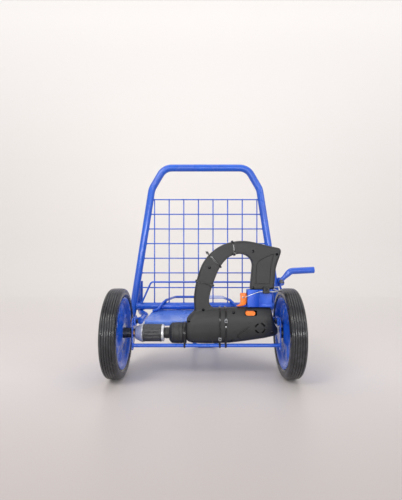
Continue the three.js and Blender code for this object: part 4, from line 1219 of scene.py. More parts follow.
def bezier(p0: Point, p1: Point, p2: Point, p3: Point, count: int) -> Array:
    """Points of a cubic Bezier: (1-t)^3 A + 3(1-t)^2 t B + 3(1-t) t^2 C + t^3 D."""
    t = np.linspace(0.0, 1.0, count)[:, None]
    a, b, c, d = (np.asarray(p, float) for p in (p0, p1, p2, p3))
    return (1 - t) ** 3 * a + 3 * (1 - t) ** 2 * t * b + 3 * (1 - t) * t ** 2 * c + t ** 3 * d


def boolean(piece: bpy.types.Object, other: Surface, operation: str) -> None:
    """Cut an object with a closed skin, or keep what is inside it, and bake the result."""
    cutter = make_object("cutter", other)
    modifier = piece.modifiers.new("cut", "BOOLEAN")
    modifier.object = cutter
    modifier.operation = operation
    solvers = modifier.bl_rna.properties["solver"].enum_items.keys()
    modifier.solver = "MANIFOLD" if "MANIFOLD" in solvers else "EXACT"
    bake_modifiers(piece)
    bpy.data.objects.remove(cutter)


@dataclass
class DrillHousing:
    """Moulded shell of the drill: a tapering body and a D-shaped handle, in two halves.

    sections holds X, lowest Z, highest Z and half depth along the body; power is the exponent of
    the superellipse that each section follows.
    """

    sections: tuple[tuple[float, float, float, float], ...] = (
        (-56, 108, 168, 29), (-52, 104, 175, 31), (-44, 101, 183, 32.5), (-34, 99.5, 192, 33),
        (0, 98, 199, 33), (64, 99.5, 200.5, 33), (109, 105, 201, 33), (164, 113, 201, 32),
        (182, 117, 200.5, 29), (187, 118, 182, 26), (191, 119.2, 161, 22), (197, 121, 149, 16),
        (203, 126, 141, 8))
    power: float = 2.6
    wall: float = 3.2
    handle_depth: float = 17.0
    voxel: float = 1.5
    screw_radius: float = 3.9
    screws: tuple[tuple[float, float], ...] = (
        (-9, 195), (-49, 165), (9, 313), (131, 359), (198, 351), (76, 188), (-36, 106), (19, 106),
        (71, 112), (184, 133), (131, 256.5))

    def section(self, x: float | Array) -> tuple[Array, Array, Array]:
        """Lowest Z, highest Z and half depth of the body at X."""
        table = np.array(self.sections)
        return tuple(np.interp(x, table[:, 0], table[:, i]) for i in (1, 2, 3))

    def ring(self, x: float, inset: float, sides: int = 72) -> Array:
        """Section ring y = d c |c|^(2/p - 1), z = m + h s |s|^(2/p - 1), (c, s) on a circle."""
        low, high, depth = self.section(x)
        t = np.linspace(0.0, TAU, sides, endpoint=False)
        c, s = np.cos(t), np.sin(t)
        y = (depth - inset) * np.sign(c) * np.abs(c) ** (2 / self.power)
        reach = (high - low) / 2 - inset
        z = (low + high) / 2 + reach * np.sign(s) * np.abs(s) ** (2 / self.power)
        return np.stack([np.full(sides, x), y, z], axis=-1)

    def body(self, inset: float = 0.0) -> Surface:
        """Body skin through its sections, drawn in by the inset on every side."""
        first, last = self.sections[0][0] + inset, self.sections[-1][0] - inset
        xs = np.unique(np.concatenate([np.linspace(first, -34, 9), np.linspace(-34, 182, 30),
                                       np.linspace(182, last, 10)]))
        return Surface.grid(np.array([self.ring(x, inset) for x in xs]))

    def handle_outline(self) -> Array:
        """Outline of the D-handle from its front root over the arch to the grip's foot and back."""
        parts = [
            np.array([(-33.0, 176.0)]),
            bezier((-36, 225), (-34, 262), (-24, 296), (-15, 317), 16),
            bezier((-15, 317), (-3, 344), (32, 390), (103, 390), 22)[1:],
            bezier((103, 390), (132, 390), (160, 378), (200, 371), 16)[1:],
            bezier((200, 371), (209, 369.4), (213, 366), (212, 357), 8)[1:],
            bezier((212, 357), (206, 335), (198, 320), (197, 305), 12)[1:],
            np.array([(192.0, 252.0)]),
            np.array([(124.0, 252.0)]),
            bezier((130, 318), (131, 336), (118, 350), (97, 352.5), 14),
            bezier((97, 352.5), (56, 352), (37, 318), (22, 275), 18)[1:],
            bezier((22, 275), (13, 250), (8, 232), (8, 218), 10)[1:],
            bezier((8, 218), (8, 206), (14, 200), (27, 196), 10)[1:],
            np.array([(27.0, 176.0)])]
        points = np.vstack(parts)
        step = np.linalg.norm(np.diff(np.vstack([points, points[:1]]), axis=0), axis=1)
        along = np.concatenate([[0.0], np.cumsum(step)])
        even = np.linspace(0.0, along[-1], 340, endpoint=False)
        closed = np.vstack([points, points[:1]])
        return np.stack([np.interp(even, along, closed[:, i]) for i in (0, 1)], axis=-1)

    def handle(self) -> Surface:
        """Handle skin: its outline stacked along Y and drawn in by k (1 - sqrt(1 - (y/d)^4)).

        The outline's inward normal at each point is its tangent turned by a right angle.
        """
        outline = self.handle_outline()
        tangent = np.roll(outline, -1, axis=0) - np.roll(outline, 1, axis=0)
        tangent /= np.linalg.norm(tangent, axis=1)[:, None]
        inward = np.stack([tangent[:, 1], -tangent[:, 0]], axis=-1)
        share = np.array([-1, -0.985, -0.94, -0.87, -0.77, -0.62, -0.4, 0, 0.4, 0.62, 0.77, 0.87,
                          0.94, 0.985, 1])
        drawn = 7.5 * (1 - np.sqrt(np.clip(1 - share ** 4, 0, 1)))
        rows = []
        for y, k in zip(share * self.handle_depth, drawn):
            flat = outline + inward * k
            rows.append(np.stack([flat[:, 0], np.full(len(flat), y), flat[:, 1]], axis=-1))
        return Surface.grid(np.array(rows))

    def front_y(self, x: float, z: float) -> float:
        """Y of the front face at a place: the body's superellipse or the handle's flat."""
        low, high, depth = self.section(x)
        level = abs(2 * z - low - high) / (high - low)
        if self.sections[0][0] <= x <= self.sections[-1][0] and level < 0.985:
            return float(-depth * (1 - level ** self.power) ** (1 / self.power))
        return -self.handle_depth + 0.4

    def cutters(self) -> list[Surface]:
        """Everything that is cut into the shell, each as a closed skin."""
        cuts = []
        for x, z in self.screws:
            face = self.front_y(x, z)
            cuts.append(straight((x, -60, z), (x, face + 5.7, z), self.screw_radius, 24, 0.3))
        for start in (20, 110, 200, 290):
            t = np.radians(np.linspace(start, start + 58, 14))
            xs, zs = 149 + 13.5 * np.cos(t), 146 + 13.5 * np.sin(t)
            face = np.array([self.front_y(x, z) for x, z in zip(xs, zs)])
            for deep in (0.4, 2.6):
                cuts.append(swept(np.stack([xs, face + deep, zs], -1), 2.1, 12, 0.5))
        crease = np.vstack([bezier((118, 149), (104, 139), (92, 132), (88, 127), 12),
                            bezier((88, 127), (84, 121), (92, 116), (108, 114.5), 10)[1:]])
        panel = np.vstack([[(139, 268)], [(140, 300)], bezier((141, 318), (143, 330), (150, 338),
                                                               (190, 352), 8),
                           bezier((190, 352), (184, 338), (181, 320), (180, 300), 8)[1:],
                           [(178, 268)], [(139, 268)]])
        for flat, radius, deep in ((crease, 1.9, 0.5), (panel, 1.1, -0.2)):
            face = np.array([self.front_y(x, z) for x, z in flat])
            cuts.append(swept(np.stack([flat[:, 0], face + deep, flat[:, 1]], -1), radius, 10,
                              0.4))
        cuts.append(block((108.0, -40, 180.5), (141.0, -15, 193.5)))
        cuts.append(turned_profile([(-62, 0.05), (-62, 16.2), (-45, 16.2), (-45, 0.05)], 40,
                                   (0, 0, LAYOUT.axle_z)))
        return cuts

    def screw_heads(self) -> Surface:
        """Domed screw heads at the bottom of their holes, each with a cross recess.

        At radius r and angle t the head stands 1.4 sqrt(1 - (r/R)^2), less 1.1 inside a cross whose
        arms are 0.9 wide.
        """
        heads = []
        r = np.linspace(3.4, 0.12, 9)[:, None]
        t = np.linspace(0.0, TAU, 40, endpoint=False)[None, :]
        u, w = r * np.cos(t), r * np.sin(t)
        cross = (np.minimum(np.abs(u), np.abs(w)) < 0.45) & (r < 2.4)
        rise = 1.4 * np.sqrt(1 - (r / 3.5) ** 2) + 0 * t - np.where(cross, 1.1, 0.0)
        for x, z in self.screws:
            back = self.front_y(x, z) + 5.5
            top = np.stack([x + u, back - rise, z + w], axis=-1)
            base = np.stack([x + u[:1], back + 0.1 + 0 * u[:1], z + w[:1]], axis=-1)
            heads.append(Surface.grid(np.concatenate([base, top])))
        return Surface.join(heads)

    def build(self, palette: Palette) -> None:
        """Make the two halves: join, smooth, hollow, cut and part them at Y = 0."""
        shell = make_object("housing_source", Surface.join([self.body(), self.handle()]))
        remesh = shell.modifiers.new("remesh", "REMESH")
        remesh.mode = "VOXEL"
        remesh.voxel_size = self.voxel / 1000.0
        soften = shell.modifiers.new("soften", "SMOOTH")
        soften.factor = 0.5
        soften.iterations = 5
        bake_modifiers(shell)
        boolean(shell, self.body(self.wall), "DIFFERENCE")
        boolean(shell, block((134, -12.5, 262), (186, 12.5, 344)), "DIFFERENCE")
        for cut in self.cutters():
            boolean(shell, cut, "DIFFERENCE")
        halves = {"front": block((-200, -200, 0), (300, -0.25, 500)),
                  "back": block((-200, 0.25, 0), (300, 200, 500))}
        for word, half in halves.items():
            piece = bpy.data.objects.new(f"housing_half_{word}", shell.data.copy())
            bpy.context.scene.collection.objects.link(piece)
            boolean(piece, half, "INTERSECT")
            piece.data.shade_smooth()
            piece.data.set_sharp_from_angle(angle=math.radians(42))
            place(piece, "frame", palette.housing, f"drill_housing_{word}")
            LOG.info("drill housing %s: %d faces", word, len(piece.data.polygons))
        bpy.data.objects.remove(shell)
        put("housing_screws", self.screw_heads(), palette.oxide, angle=30)


@dataclass
class DriveNose:
    """Gearbox nose, torque collar and keyless chuck on the wheel's axis."""

    collar_radius: float = 29.4
    sleeve_radius: float = 24.9
    nose_radius: float = 15.8
    sleeve_ribs: int = 12
    collar_ridges: int = 40

    def sleeve(self) -> Surface:
        """Chuck sleeve: r is lowered between the ribs by 1.7 (1 - |cos(n t / 2)|^0.35)."""
        r = self.sleeve_radius
        profile = [(-179, 17.9), (-179, r - 1.2), (-178.4, r - 0.4), (-177.6, r), (-175, r),
                   (-174.2, r - 0.5), (-173, r), (-171, r), (-160, r), (-150, r), (-140, r),
                   (-135, r), (-133, r), (-132.2, r - 0.5), (-131, r), (-129, r), (-128, r - 0.4),
                   (-127.4, r - 1.2), (-127.4, 17.9)]

        def shape(x: Array, radius: Array, t: Array) -> tuple[Array, Array]:
            """Press the flutes between the ribs along the middle of the sleeve."""
            valley = 1 - np.abs(np.cos(self.sleeve_ribs * t / 2)) ** 0.6
            along = np.clip((x + 174) / 2, 0, 1) * np.clip((-132 - x) / 2, 0, 1)
            return x, np.where(radius > r - 2, radius - 2.2 * valley * along, radius)

        return turned_profile(profile, 288, (0, 0, LAYOUT.axle_z), shape)

    def chuck(self) -> Surface:
        """Chuck body: the steel nose cone with its edge rings, the core and the rear ring."""
        r = self.sleeve_radius
        profile = [(-202.5, 13), (-202.5, 14.6), (-202.0, 15.4), (-199, 18.5), (-197, 19.6),
                   (-196.6, 19.3), (-196.0, 19.9), (-190, 22.8), (-186, 24.5), (-183, 25.9),
                   (-182.6, 25.5), (-182.0, 26.2), (-180.0, 26.8), (-179.4, 26.4), (-179.4, 17.5),
                   (-127, 17.5), (-127, r - 1.0), (-126.4, r - 0.4), (-124.4, r - 0.6),
                   (-124.0, r - 1.1), (-123.4, r - 0.8), (-121.2, r - 1.2), (-120.4, r - 2.0),
                   (-120.4, 6.8), (-150, 6.8), (-150, 13)]
        return turned_profile(profile, 120, (0, 0, LAYOUT.axle_z))

    def collar(self) -> Surface:
        """Torque collar: ridges 0.8 deep on its cone and rear band, a smooth ring between."""
        r = self.collar_radius
        profile = [(-105, 16.4), (-105, 20.4), (-104.4, 21.2), (-101, 25.2), (-98, 28.0),
                   (-96.4, 28.9), (-94, 29.1), (-92.8, 28.4), (-91.6, 29.1), (-86, r), (-80, r),
                   (-77, r), (-76.2, r - 0.6), (-75.4, r), (-70, r), (-68, r), (-67, r - 0.7),
                   (-67, 16.4)]

        def shape(x: Array, radius: Array, t: Array) -> tuple[Array, Array]:
            """Cut the ridges into the cone and the rear band."""
            wave = 0.5 + 0.5 * np.cos(self.collar_ridges * t)
            cone = np.clip((x + 104) / 2, 0, 1) * np.clip((-94 - x) / 1.5, 0, 1)
            band = np.clip((x + 75) / 0.8, 0, 1) * np.clip((-68 - x) / 0.8, 0, 1)
            return x, np.where(radius > 20, radius - 0.8 * wave * (cone + band), radius)

        return turned_profile(profile, 320, (0, 0, LAYOUT.axle_z), shape)

    def gearbox(self) -> Surface:
        """Gearbox casing: neck with two oil-seal rings, and the flange behind the collar."""
        n, r = self.nose_radius, self.collar_radius
        profile = [(-104.5, 9), (-119.6, 9), (-119.6, n - 1.2), (-118.8, n - 0.4), (-117, n - 0.4),
                   (-116.6, n - 1.2), (-115.8, n - 1.2), (-115.4, n), (-110, n), (-109.6, n - 0.6),
                   (-108.8, n - 0.6), (-108.4, n), (-66.5, n), (-66.5, r - 1.0), (-66, r - 0.4),
                   (-64.8, r - 0.2), (-64.4, r - 0.9), (-58.4, r - 0.9), (-58, r - 0.2),
                   (-56.9, r - 0.4), (-56.4, r - 1.0), (-56.4, 15.5), (-38, 15.5), (-36, 23),
                   (-6, 23), (-6, 9)]
        return turned_profile(profile, 96, (0, 0, LAYOUT.axle_z))

    def jaw(self, turn: float) -> Surface:
        """One chuck jaw: a bar along X whose tip is ground to a wedge, turned about the axis."""
        x = np.array([-200.0, -198.6, -193.0, -168.0])
        low = np.array([5.7, 5.7, 5.7, 5.7])
        high = np.array([8.2, 9.4, 12.0, 12.0])
        y = np.array([-2.9, 2.9, 2.9, -2.9])
        heights = np.stack([low, low, high, high], axis=-1)
        rows = np.stack([np.repeat(x[:, None], 4, 1), np.repeat(y[None], 4, 0), heights], axis=-1)
        c, s = math.cos(turn), math.sin(turn)
        spun = np.stack([rows[..., 0], rows[..., 1] * c - rows[..., 2] * s,
                         rows[..., 1] * s + rows[..., 2] * c + LAYOUT.axle_z], axis=-1)
        return Surface.grid(spun)

    def build(self, palette: Palette) -> None:
        """Make and dress the drill's turning end."""
        put("gearbox_nose", self.gearbox(), palette.nylon, "drill_gearbox")
        put("ridged_torque_collar", self.collar(), palette.housing, "torque_collar",
            body="torque_collar", angle=50)
        put("keyless_chuck_body", self.chuck(), palette.plated, "chuck_body", body="drive_wheel",
            angle=30)
        put("fluted_chuck_sleeve", self.sleeve(), palette.grip, "chuck_sleeve",
            body="chuck_sleeve", angle=45)
        for i in range(3):
            put(f"ground_jaw_{i + 1}", self.jaw(TAU * i / 3), palette.oxide, f"chuck_jaw_{i + 1}",
                body="drive_wheel", edge=0.4, steps=2)
        LOG.info("drive nose: gearbox, collar, chuck, sleeve, jaws")


@dataclass
class Controls:
    """Blue block, trigger and direction slider."""

    block_left: float = 115.5
    block_right: float = 186.0
    travel: float = 6.7

    def build(self, palette: Palette) -> None:
        """Make and dress the controls."""
        shell = make_object("control_block", block((self.block_left, -16.5, 201.6),
                                                   (self.block_right, 16.5, 251.5)))
        bevel(shell, 2.4, 4)
        bake_modifiers(shell)
        boolean(shell, block((110, -9, 203), (168, 9, 244)), "DIFFERENCE")
        for z in (212.0, 240.0):
            boolean(shell, block((150, -20, z - 0.5), (190, -15.7, z + 0.5)), "DIFFERENCE")
        boolean(shell, block((149.4, -20, 202), (150.4, -15.7, 252)), "DIFFERENCE")
        shell.data.shade_smooth()
        shell.data.set_sharp_from_angle(angle=math.radians(35))
        place(shell, "frame", palette.blue_abs, "switch_block")
        put("trigger_lever", self.trigger(), palette.orange, "trigger", body="trigger")
        put("direction_pill", self.pill(), palette.orange, "direction_slider",
            body="direction_slider", edge=1.0)
        LOG.info("controls: block, trigger, slider")

    def trigger(self) -> Surface:
        """Trigger: its outline stacked along Y, drawn in at both faces, and its stem.

        Layers at y = 8 s are drawn in by 1.8 (1 - sqrt(1 - s^4)), and the finger's face is waved by
        three shallow ridges.
        """
        face = bezier((86.5, 204), (97.5, 207), (98, 213), (97.2, 226), 16)
        face[:, 0] += 0.35 * np.sin(np.linspace(0, 6 * math.pi, 16))
        outline = np.vstack([
            face, [(96.6, 239.6), (97.6, 241.0), (113.4, 241.0), (114.6, 239.8)],
            bezier((114.6, 214), (113.5, 204.5), (104, 203.6), (88, 202.6), 14)])
        middle = outline.mean(axis=0)
        share = np.array([-1, -0.96, -0.88, -0.7, -0.3, 0.3, 0.7, 0.88, 0.96, 1])
        rows = []
        for y, k in zip(8.0 * share, 1.8 * (1 - np.sqrt(np.clip(1 - share ** 4, 0, 1)))):
            away = outline - middle
            flat = outline - away / np.linalg.norm(away, axis=1)[:, None] * k
            rows.append(np.stack([flat[:, 0], np.full(len(flat), y), flat[:, 1]], axis=-1))
        stem = block((113.0, -5.0, 216.0), (131.4 - self.travel, 5.0, 236.0))
        return Surface.join([Surface.grid(np.array(rows)), stem])

    def pill(self) -> Surface:
        """Direction slider: a slot-shaped button with its long sides straight."""
        t = np.linspace(-math.pi / 2, math.pi / 2, 14)
        right = np.stack([129.5 + 6 * np.cos(t), 187 + 6 * np.sin(t)], -1)
        left = np.stack([114.5 - 6 * np.cos(t), 187 - 6 * np.sin(t)], -1)
        return slab(np.vstack([right, left]).tolist(), -24.5 - 9.4, -15.6, "xz")


# ---- Straps, cable and lever ----


@dataclass
class Straps:
    """Cable ties that hold the drill to the lower bar and the wires to its arch."""

    housing: DrillHousing
    width: float = 4.6
    thick: float = 1.6
    gap: float = 0.5
    locks: list[Surface] = field(default_factory=list)
    # Plated domes on the body ties' straps: painted glints, highlights painted on the curved
    # straps.
    painted_glints: list[Surface] = field(default_factory=list)
    plugs: list[Surface] = field(default_factory=list)

    def stack(self, place_at: Point, outline: Array,
              steps: Sequence[tuple[float, float]]) -> Surface:
        """Closed skin of rings in X and Z, each (size share, distance towards -Y)."""
        rows = [np.stack([place_at[0] + outline[:, 0] * k,
                          np.full(len(outline), place_at[1] - out),
                          place_at[2] + outline[:, 1] * k], -1) for k, out in steps]
        return Surface.grid(np.array(rows))

    def small_dome(self, place_at: Point) -> Surface:
        """Small dome of rings (radius, distance), for painted glints and lock-slot plugs."""
        return self.stack(place_at, circle(24), ((2.2, -0.3), (2.2, 0.3), (1.9, 0.8), (1.2, 1.2),
                                                 (0.3, 1.4)))

    def band(self, loop: Array, centre: float) -> Surface:
        """A strap along a closed 2-D loop: a rectangle with eased corners swept round it.

        Args:
            loop: closed outline of the strap's inner face.
            centre: place of the strap's middle along its axis.

        Returns:
            The closed band.
        """
        tangent = np.roll(loop, -1, axis=0) - np.roll(loop, 1, axis=0)
        tangent /= np.linalg.norm(tangent, axis=1)[:, None]
        outward = np.stack([tangent[:, 1], -tangent[:, 0]], axis=-1)
        if np.mean(np.sum(outward * (loop - loop.mean(axis=0)), axis=1)) < 0:
            outward = -outward
        w, k, e = self.width / 2, self.thick, 0.35
        section = [(-w, e), (-w, k - e), (-w + e, k), (-w + 1.3, k), (-w + 1.6, k - 0.3),
                   (w - 1.6, k - 0.3), (w - 1.3, k), (w - e, k), (w, k - e), (w, e), (w - e, 0),
                   (-w + e, 0)]
        rows = []
        for across, out in section:
            flat = loop + outward * out
            rows.append(np.stack([np.full(len(flat), centre + across), flat[:, 0], flat[:, 1]],
                                 -1))
        return Surface.grid(np.array(rows), Ends.LOOPED)

    def hull(self, points: Array) -> Array:
        """Outline pulled tight round points in a plane, resampled evenly."""
        order = points[np.lexsort((points[:, 1], points[:, 0]))]

        def half(rows: Array) -> list[Array]:
            """One side of the monotone chain."""
            chain: list[Array] = []
            for row in rows:
                while len(chain) > 1:
                    a, b = chain[-1] - chain[-2], row - chain[-2]
                    if a[0] * b[1] - a[1] * b[0] > 1e-9:
                        break
                    chain.pop()
                chain.append(row)
            return chain[:-1]

        tight = np.array(half(order) + half(order[::-1]))
        closed = np.vstack([tight, tight[:1]])
        along = np.concatenate([[0], np.cumsum(np.linalg.norm(np.diff(closed, axis=0), axis=1))])
        even = np.linspace(0, along[-1], 180, endpoint=False)
        return np.stack([np.interp(even, along, closed[:, i]) for i in (0, 1)], axis=-1)

    def round_points(self, y: float, z: float, radius: float) -> Array:
        """Points of a circle in Y and Z, stood off by the gap."""
        t = np.linspace(0, TAU, 64, endpoint=False)
        return np.stack([y + (radius + self.gap) * np.cos(t), z + (radius + self.gap) * np.sin(t)],
                        -1)

    def body_tie(self, x: float, head_z: float) -> Surface:
        """Strap round the drill's body and the bar behind it, with its lock on the front."""
        body = self.housing.ring(x, -self.gap, 96)[:, 1:]
        loop = self.hull(np.vstack([body, self.round_points(LAYOUT.bar_y, LAYOUT.bar_z,
                                                            LAYOUT.bar_rod / 2)]))
        face = self.housing.front_y(x, head_z) - self.gap - self.thick
        self.locks.append(self.lock((x, face, head_z), 8.2, 9.0, 3.4))
        self.plugs.append(self.small_dome((x, face - 2.4, head_z)))
        # A plated dome on the strap's front, midway up the body, is a painted glint.
        self.painted_glints.append(self.small_dome((x, face - 0.1, 150.0)))
        return self.band(loop, x)

    def lock(self, place_at: Point, width: float, height: float, proud: float) -> Surface:
        """Square lock of a tie: a stepped frame that stands proud, with the tail's slot in it.

        Rings of a rounded square from the strap outwards, over the rim and into the slot.
        """
        c, s = circle(40).T
        square = np.stack([np.sign(c) * np.abs(c) ** 0.28 * width / 2,
                           np.sign(s) * np.abs(s) ** 0.28 * height / 2], -1)
        return self.stack(place_at, square, (
            (1.0, -0.4), (1.0, proud - 0.6), (0.96, proud - 0.2), (0.88, proud), (0.6, proud),
            (0.55, proud - 0.2), (0.52, proud - 1.2), (0.1, proud - 1.3)))

    def arch_tie(self, outer: Point, inner: Point, head: str) -> Surface:
        """Strap round the arch between an outer and an inner point in X and Z.

        Args:
            outer: point on the outer edge.
            inner: point on the inner edge.
            head: "front" for a square lock, "edge" for one on the outer edge, "round" for a clip.

        Returns:
            The strap with its lock.
        """
        a, b = np.asarray(outer, float), np.asarray(inner, float)
        along = (b - a) / np.linalg.norm(b - a)
        half = float(np.linalg.norm(b - a)) / 2 + 0.7
        depth = self.housing.handle_depth + 0.5
        t = np.linspace(0, TAU, 160, endpoint=False)
        c, s = np.cos(t), np.sin(t)
        loop = np.stack([(half + 0.3) * np.sign(c) * np.abs(c) ** 0.34,
                         (depth + 0.1) * np.sign(s) * np.abs(s) ** 0.34], -1)
        strap = self.band(loop, 0.0)
        parts = [strap]
        front = -depth - self.thick
        if head == "front":
            parts.append(self.turned(self.lock((0.0, 0.0, 0.0), 7.2, 7.2, 4.5), half - 5.5, front))
        elif head == "edge":
            parts.append(self.edge_lock(-half - self.thick, 9.0))
        else:
            parts.append(self.turned(self.round_clip(5.5, 4.2), half - 7.0, front))
        joined = Surface.join(parts)
        across = np.array([along[1], -along[0]])
        p = joined.points
        middle = (a + b) / 2
        joined.points = np.stack([middle[0] + along[0] * p[:, 1] + across[0] * p[:, 0], p[:, 2],
                                  middle[1] + along[1] * p[:, 1] + across[1] * p[:, 0]], -1)
        return joined

    def turned(self, made: Surface, along: float, front: float) -> Surface:
        """A head in the strap's own axes: across, along, then towards the front."""
        p = made.points
        made.points = np.stack([p[:, 0], along + p[:, 2], front + p[:, 1]], -1)
        return made

    def edge_lock(self, edge: float, proud: float) -> Surface:
        """Lock that stands out past the arch's outer edge, with the cut tail beyond it."""
        made = self.lock((0.0, 0.0, 0.0), 7.4, 8.0, proud - 3.0)
        p = made.points
        made.points = np.stack([p[:, 0], edge + p[:, 1], p[:, 2]], -1)
        tail = swept(np.array([(0, edge - 2, -1.5), (0, edge - 6, -1.8),
                               (0.3, edge - proud, -2.4)], float), 1.3, 10, 0.3)
        return Surface.join([made, tail])

    def round_clip(self, radius: float, proud: float) -> Surface:
        """Round snap head with a rolled rim and a dimple."""
        return self.stack((0.0, 0.0, 0.0), circle(48) * radius, (
            (1.0, -0.4), (1.0, proud - 1.4), (0.95, proud - 0.5), (0.82, proud - 0.1),
            (0.66, proud), (0.56, proud - 0.3), (0.5, proud - 1.0), (0.1, proud - 1.3)))

    def build(self, palette: Palette) -> None:
        """Make and dress the six ties."""
        t = np.linspace(0, TAU, 96, endpoint=False)
        collar = np.stack([29.9 * np.cos(t), LAYOUT.axle_z + 29.9 * np.sin(t)], -1)
        loop = self.hull(np.vstack([collar, self.round_points(LAYOUT.bar_y, LAYOUT.bar_z,
                                                              LAYOUT.bar_rod / 2)]))
        ties = {
            "collar_tie": self.band(loop, -61.3),
            "left_body_tie": self.body_tie(37.5, 115),
            "right_body_tie": self.body_tie(54.0, 166),
            "handle_tie_low": self.arch_tie((-29.3, 276), (19.7, 262.5), "front"),
            "handle_tie_mid": self.arch_tie((6, 352), (41, 315), "edge"),
            "handle_tie_top": self.arch_tie((73.5, 388), (80, 349.5), "round")}
        for name, surface in ties.items():
            put(f"locked_{name}", surface, palette.tie, name)
        put("tie_locks", Surface.join(self.locks), palette.lock)
        put("tie_lock_slots", Surface.join(self.plugs), palette.tie, angle=50)
        # Plated domes that paint the glints on the body ties' straps.
        put("tie_lock_tongues", Surface.join(self.painted_glints), palette.plated, angle=50)
        LOG.info("straps: %d ties", len(ties))


@dataclass
class Cable:
    """Bowden cable from the trigger to the lever: guide, sheath with its end caps, inner wire."""

    sheath_radius: float = 2.0
    wire_radius: float = 0.9

    def route(self) -> Array:
        """Centreline of the sheath."""
        points = [(170, -24.5, 246.5), (192, -24.5, 246.5), (208, 15.5, 244.5),
                  (216.5, 178, 243), (246.5, 178, 243)]
        return bent_path(points, (8.0, 30.0, 14.0), 1.5)

    def wire(self, path: Array) -> Surface:
        """Stranded inner wire: r (1 + 0.12 cos(6 (t + 2 pi s / 9))) at s millimetres along it."""
        even = [path[0]]
        for a, b in zip(path[:-1], path[1:]):
            count = max(1, int(np.linalg.norm(b - a) / 1.2))
            even += [a + (b - a) * k / count for k in range(1, count + 1)]
        line = np.array(even)
        _, side, up = path_frames(line)
        along = np.concatenate([[0], np.cumsum(np.linalg.norm(np.diff(line, axis=0), axis=1))])
        t = np.linspace(0, TAU, 24, endpoint=False)[None, :]
        r = self.wire_radius * (0.94 + 0.06 * np.cos(6 * (t + TAU * along[:, None] / 18)))
        rows = line[:, None] + r[..., None] * (np.cos(t)[..., None] * side[:, None]
                                               + np.sin(t)[..., None] * up[:, None])
        return Surface.grid(rows)

    def build(self, palette: Palette) -> None:
        """Make and dress the cable."""
        path = self.route()
        put("sheath_tube", swept(path, self.sheath_radius, 20, 0.3), palette.sheath, "cable_outer",
            angle=40)
        front = bent_path([(103, -9, 229), (106.5, -19.5, 230.5), (148, -24.5, 246.5),
                           (174, -24.5, 246.5)], (4.0, 20.0), 1.2)
        nipple = straight((103, -10.6, 228.6), (103, -7.6, 229.4), 2.6, 24, 0.5)
        rear = np.array([(235.5, 178, 243), (242, 178, 243), (248.6, 178, 243)], float)
        put("stranded_wire_front", Surface.join([self.wire(front), nipple]), palette.plated,
            "inner_wire_front", body="trigger", angle=60)
        put("stranded_wire_rear", self.wire(rear), palette.plated, "inner_wire_rear",
            body="trigger", angle=60)
        caps = [turned_profile([(x - 5, 2.05), (x - 5, 2.5), (x - 4.4, 2.9), (x - 1.2, 2.9),
                                (x - 0.9, 2.6), (x, 2.6), (x, 2.05)], 28, (0, y, z))
                for x, y, z in ((246.4, 178, 243),)]
        put("sheath_end_cap", Surface.join(caps), palette.plated)
        guide = make_object("cable_guide_clip", block((158, -29.5, 241.5), (176, -19.5, 257.5)))
        bevel(guide, 1.6, 3)
        bake_modifiers(guide)
        boolean(guide, straight((150, -24.5, 246.5), (184, -24.5, 246.5), 3.2, 32, 0.1),
                "DIFFERENCE")
        boolean(guide, block((164.5, -32, 249), (169.5, -27.9, 260)), "DIFFERENCE")
        strap = make_object("cable_guide_strap", block((162, -23.5, 254.5), (172, -17.4, 260.5)))
        bevel(strap, 1.0, 3)
        for piece, names in ((guide, ("cable_guide",)), (strap, ())):
            if not piece.modifiers:
                piece.data.shade_smooth()
                piece.data.set_sharp_from_angle(angle=math.radians(35))
            place(piece, "frame", palette.nylon, *names)
        LOG.info("cable: sheath, wires, guide")


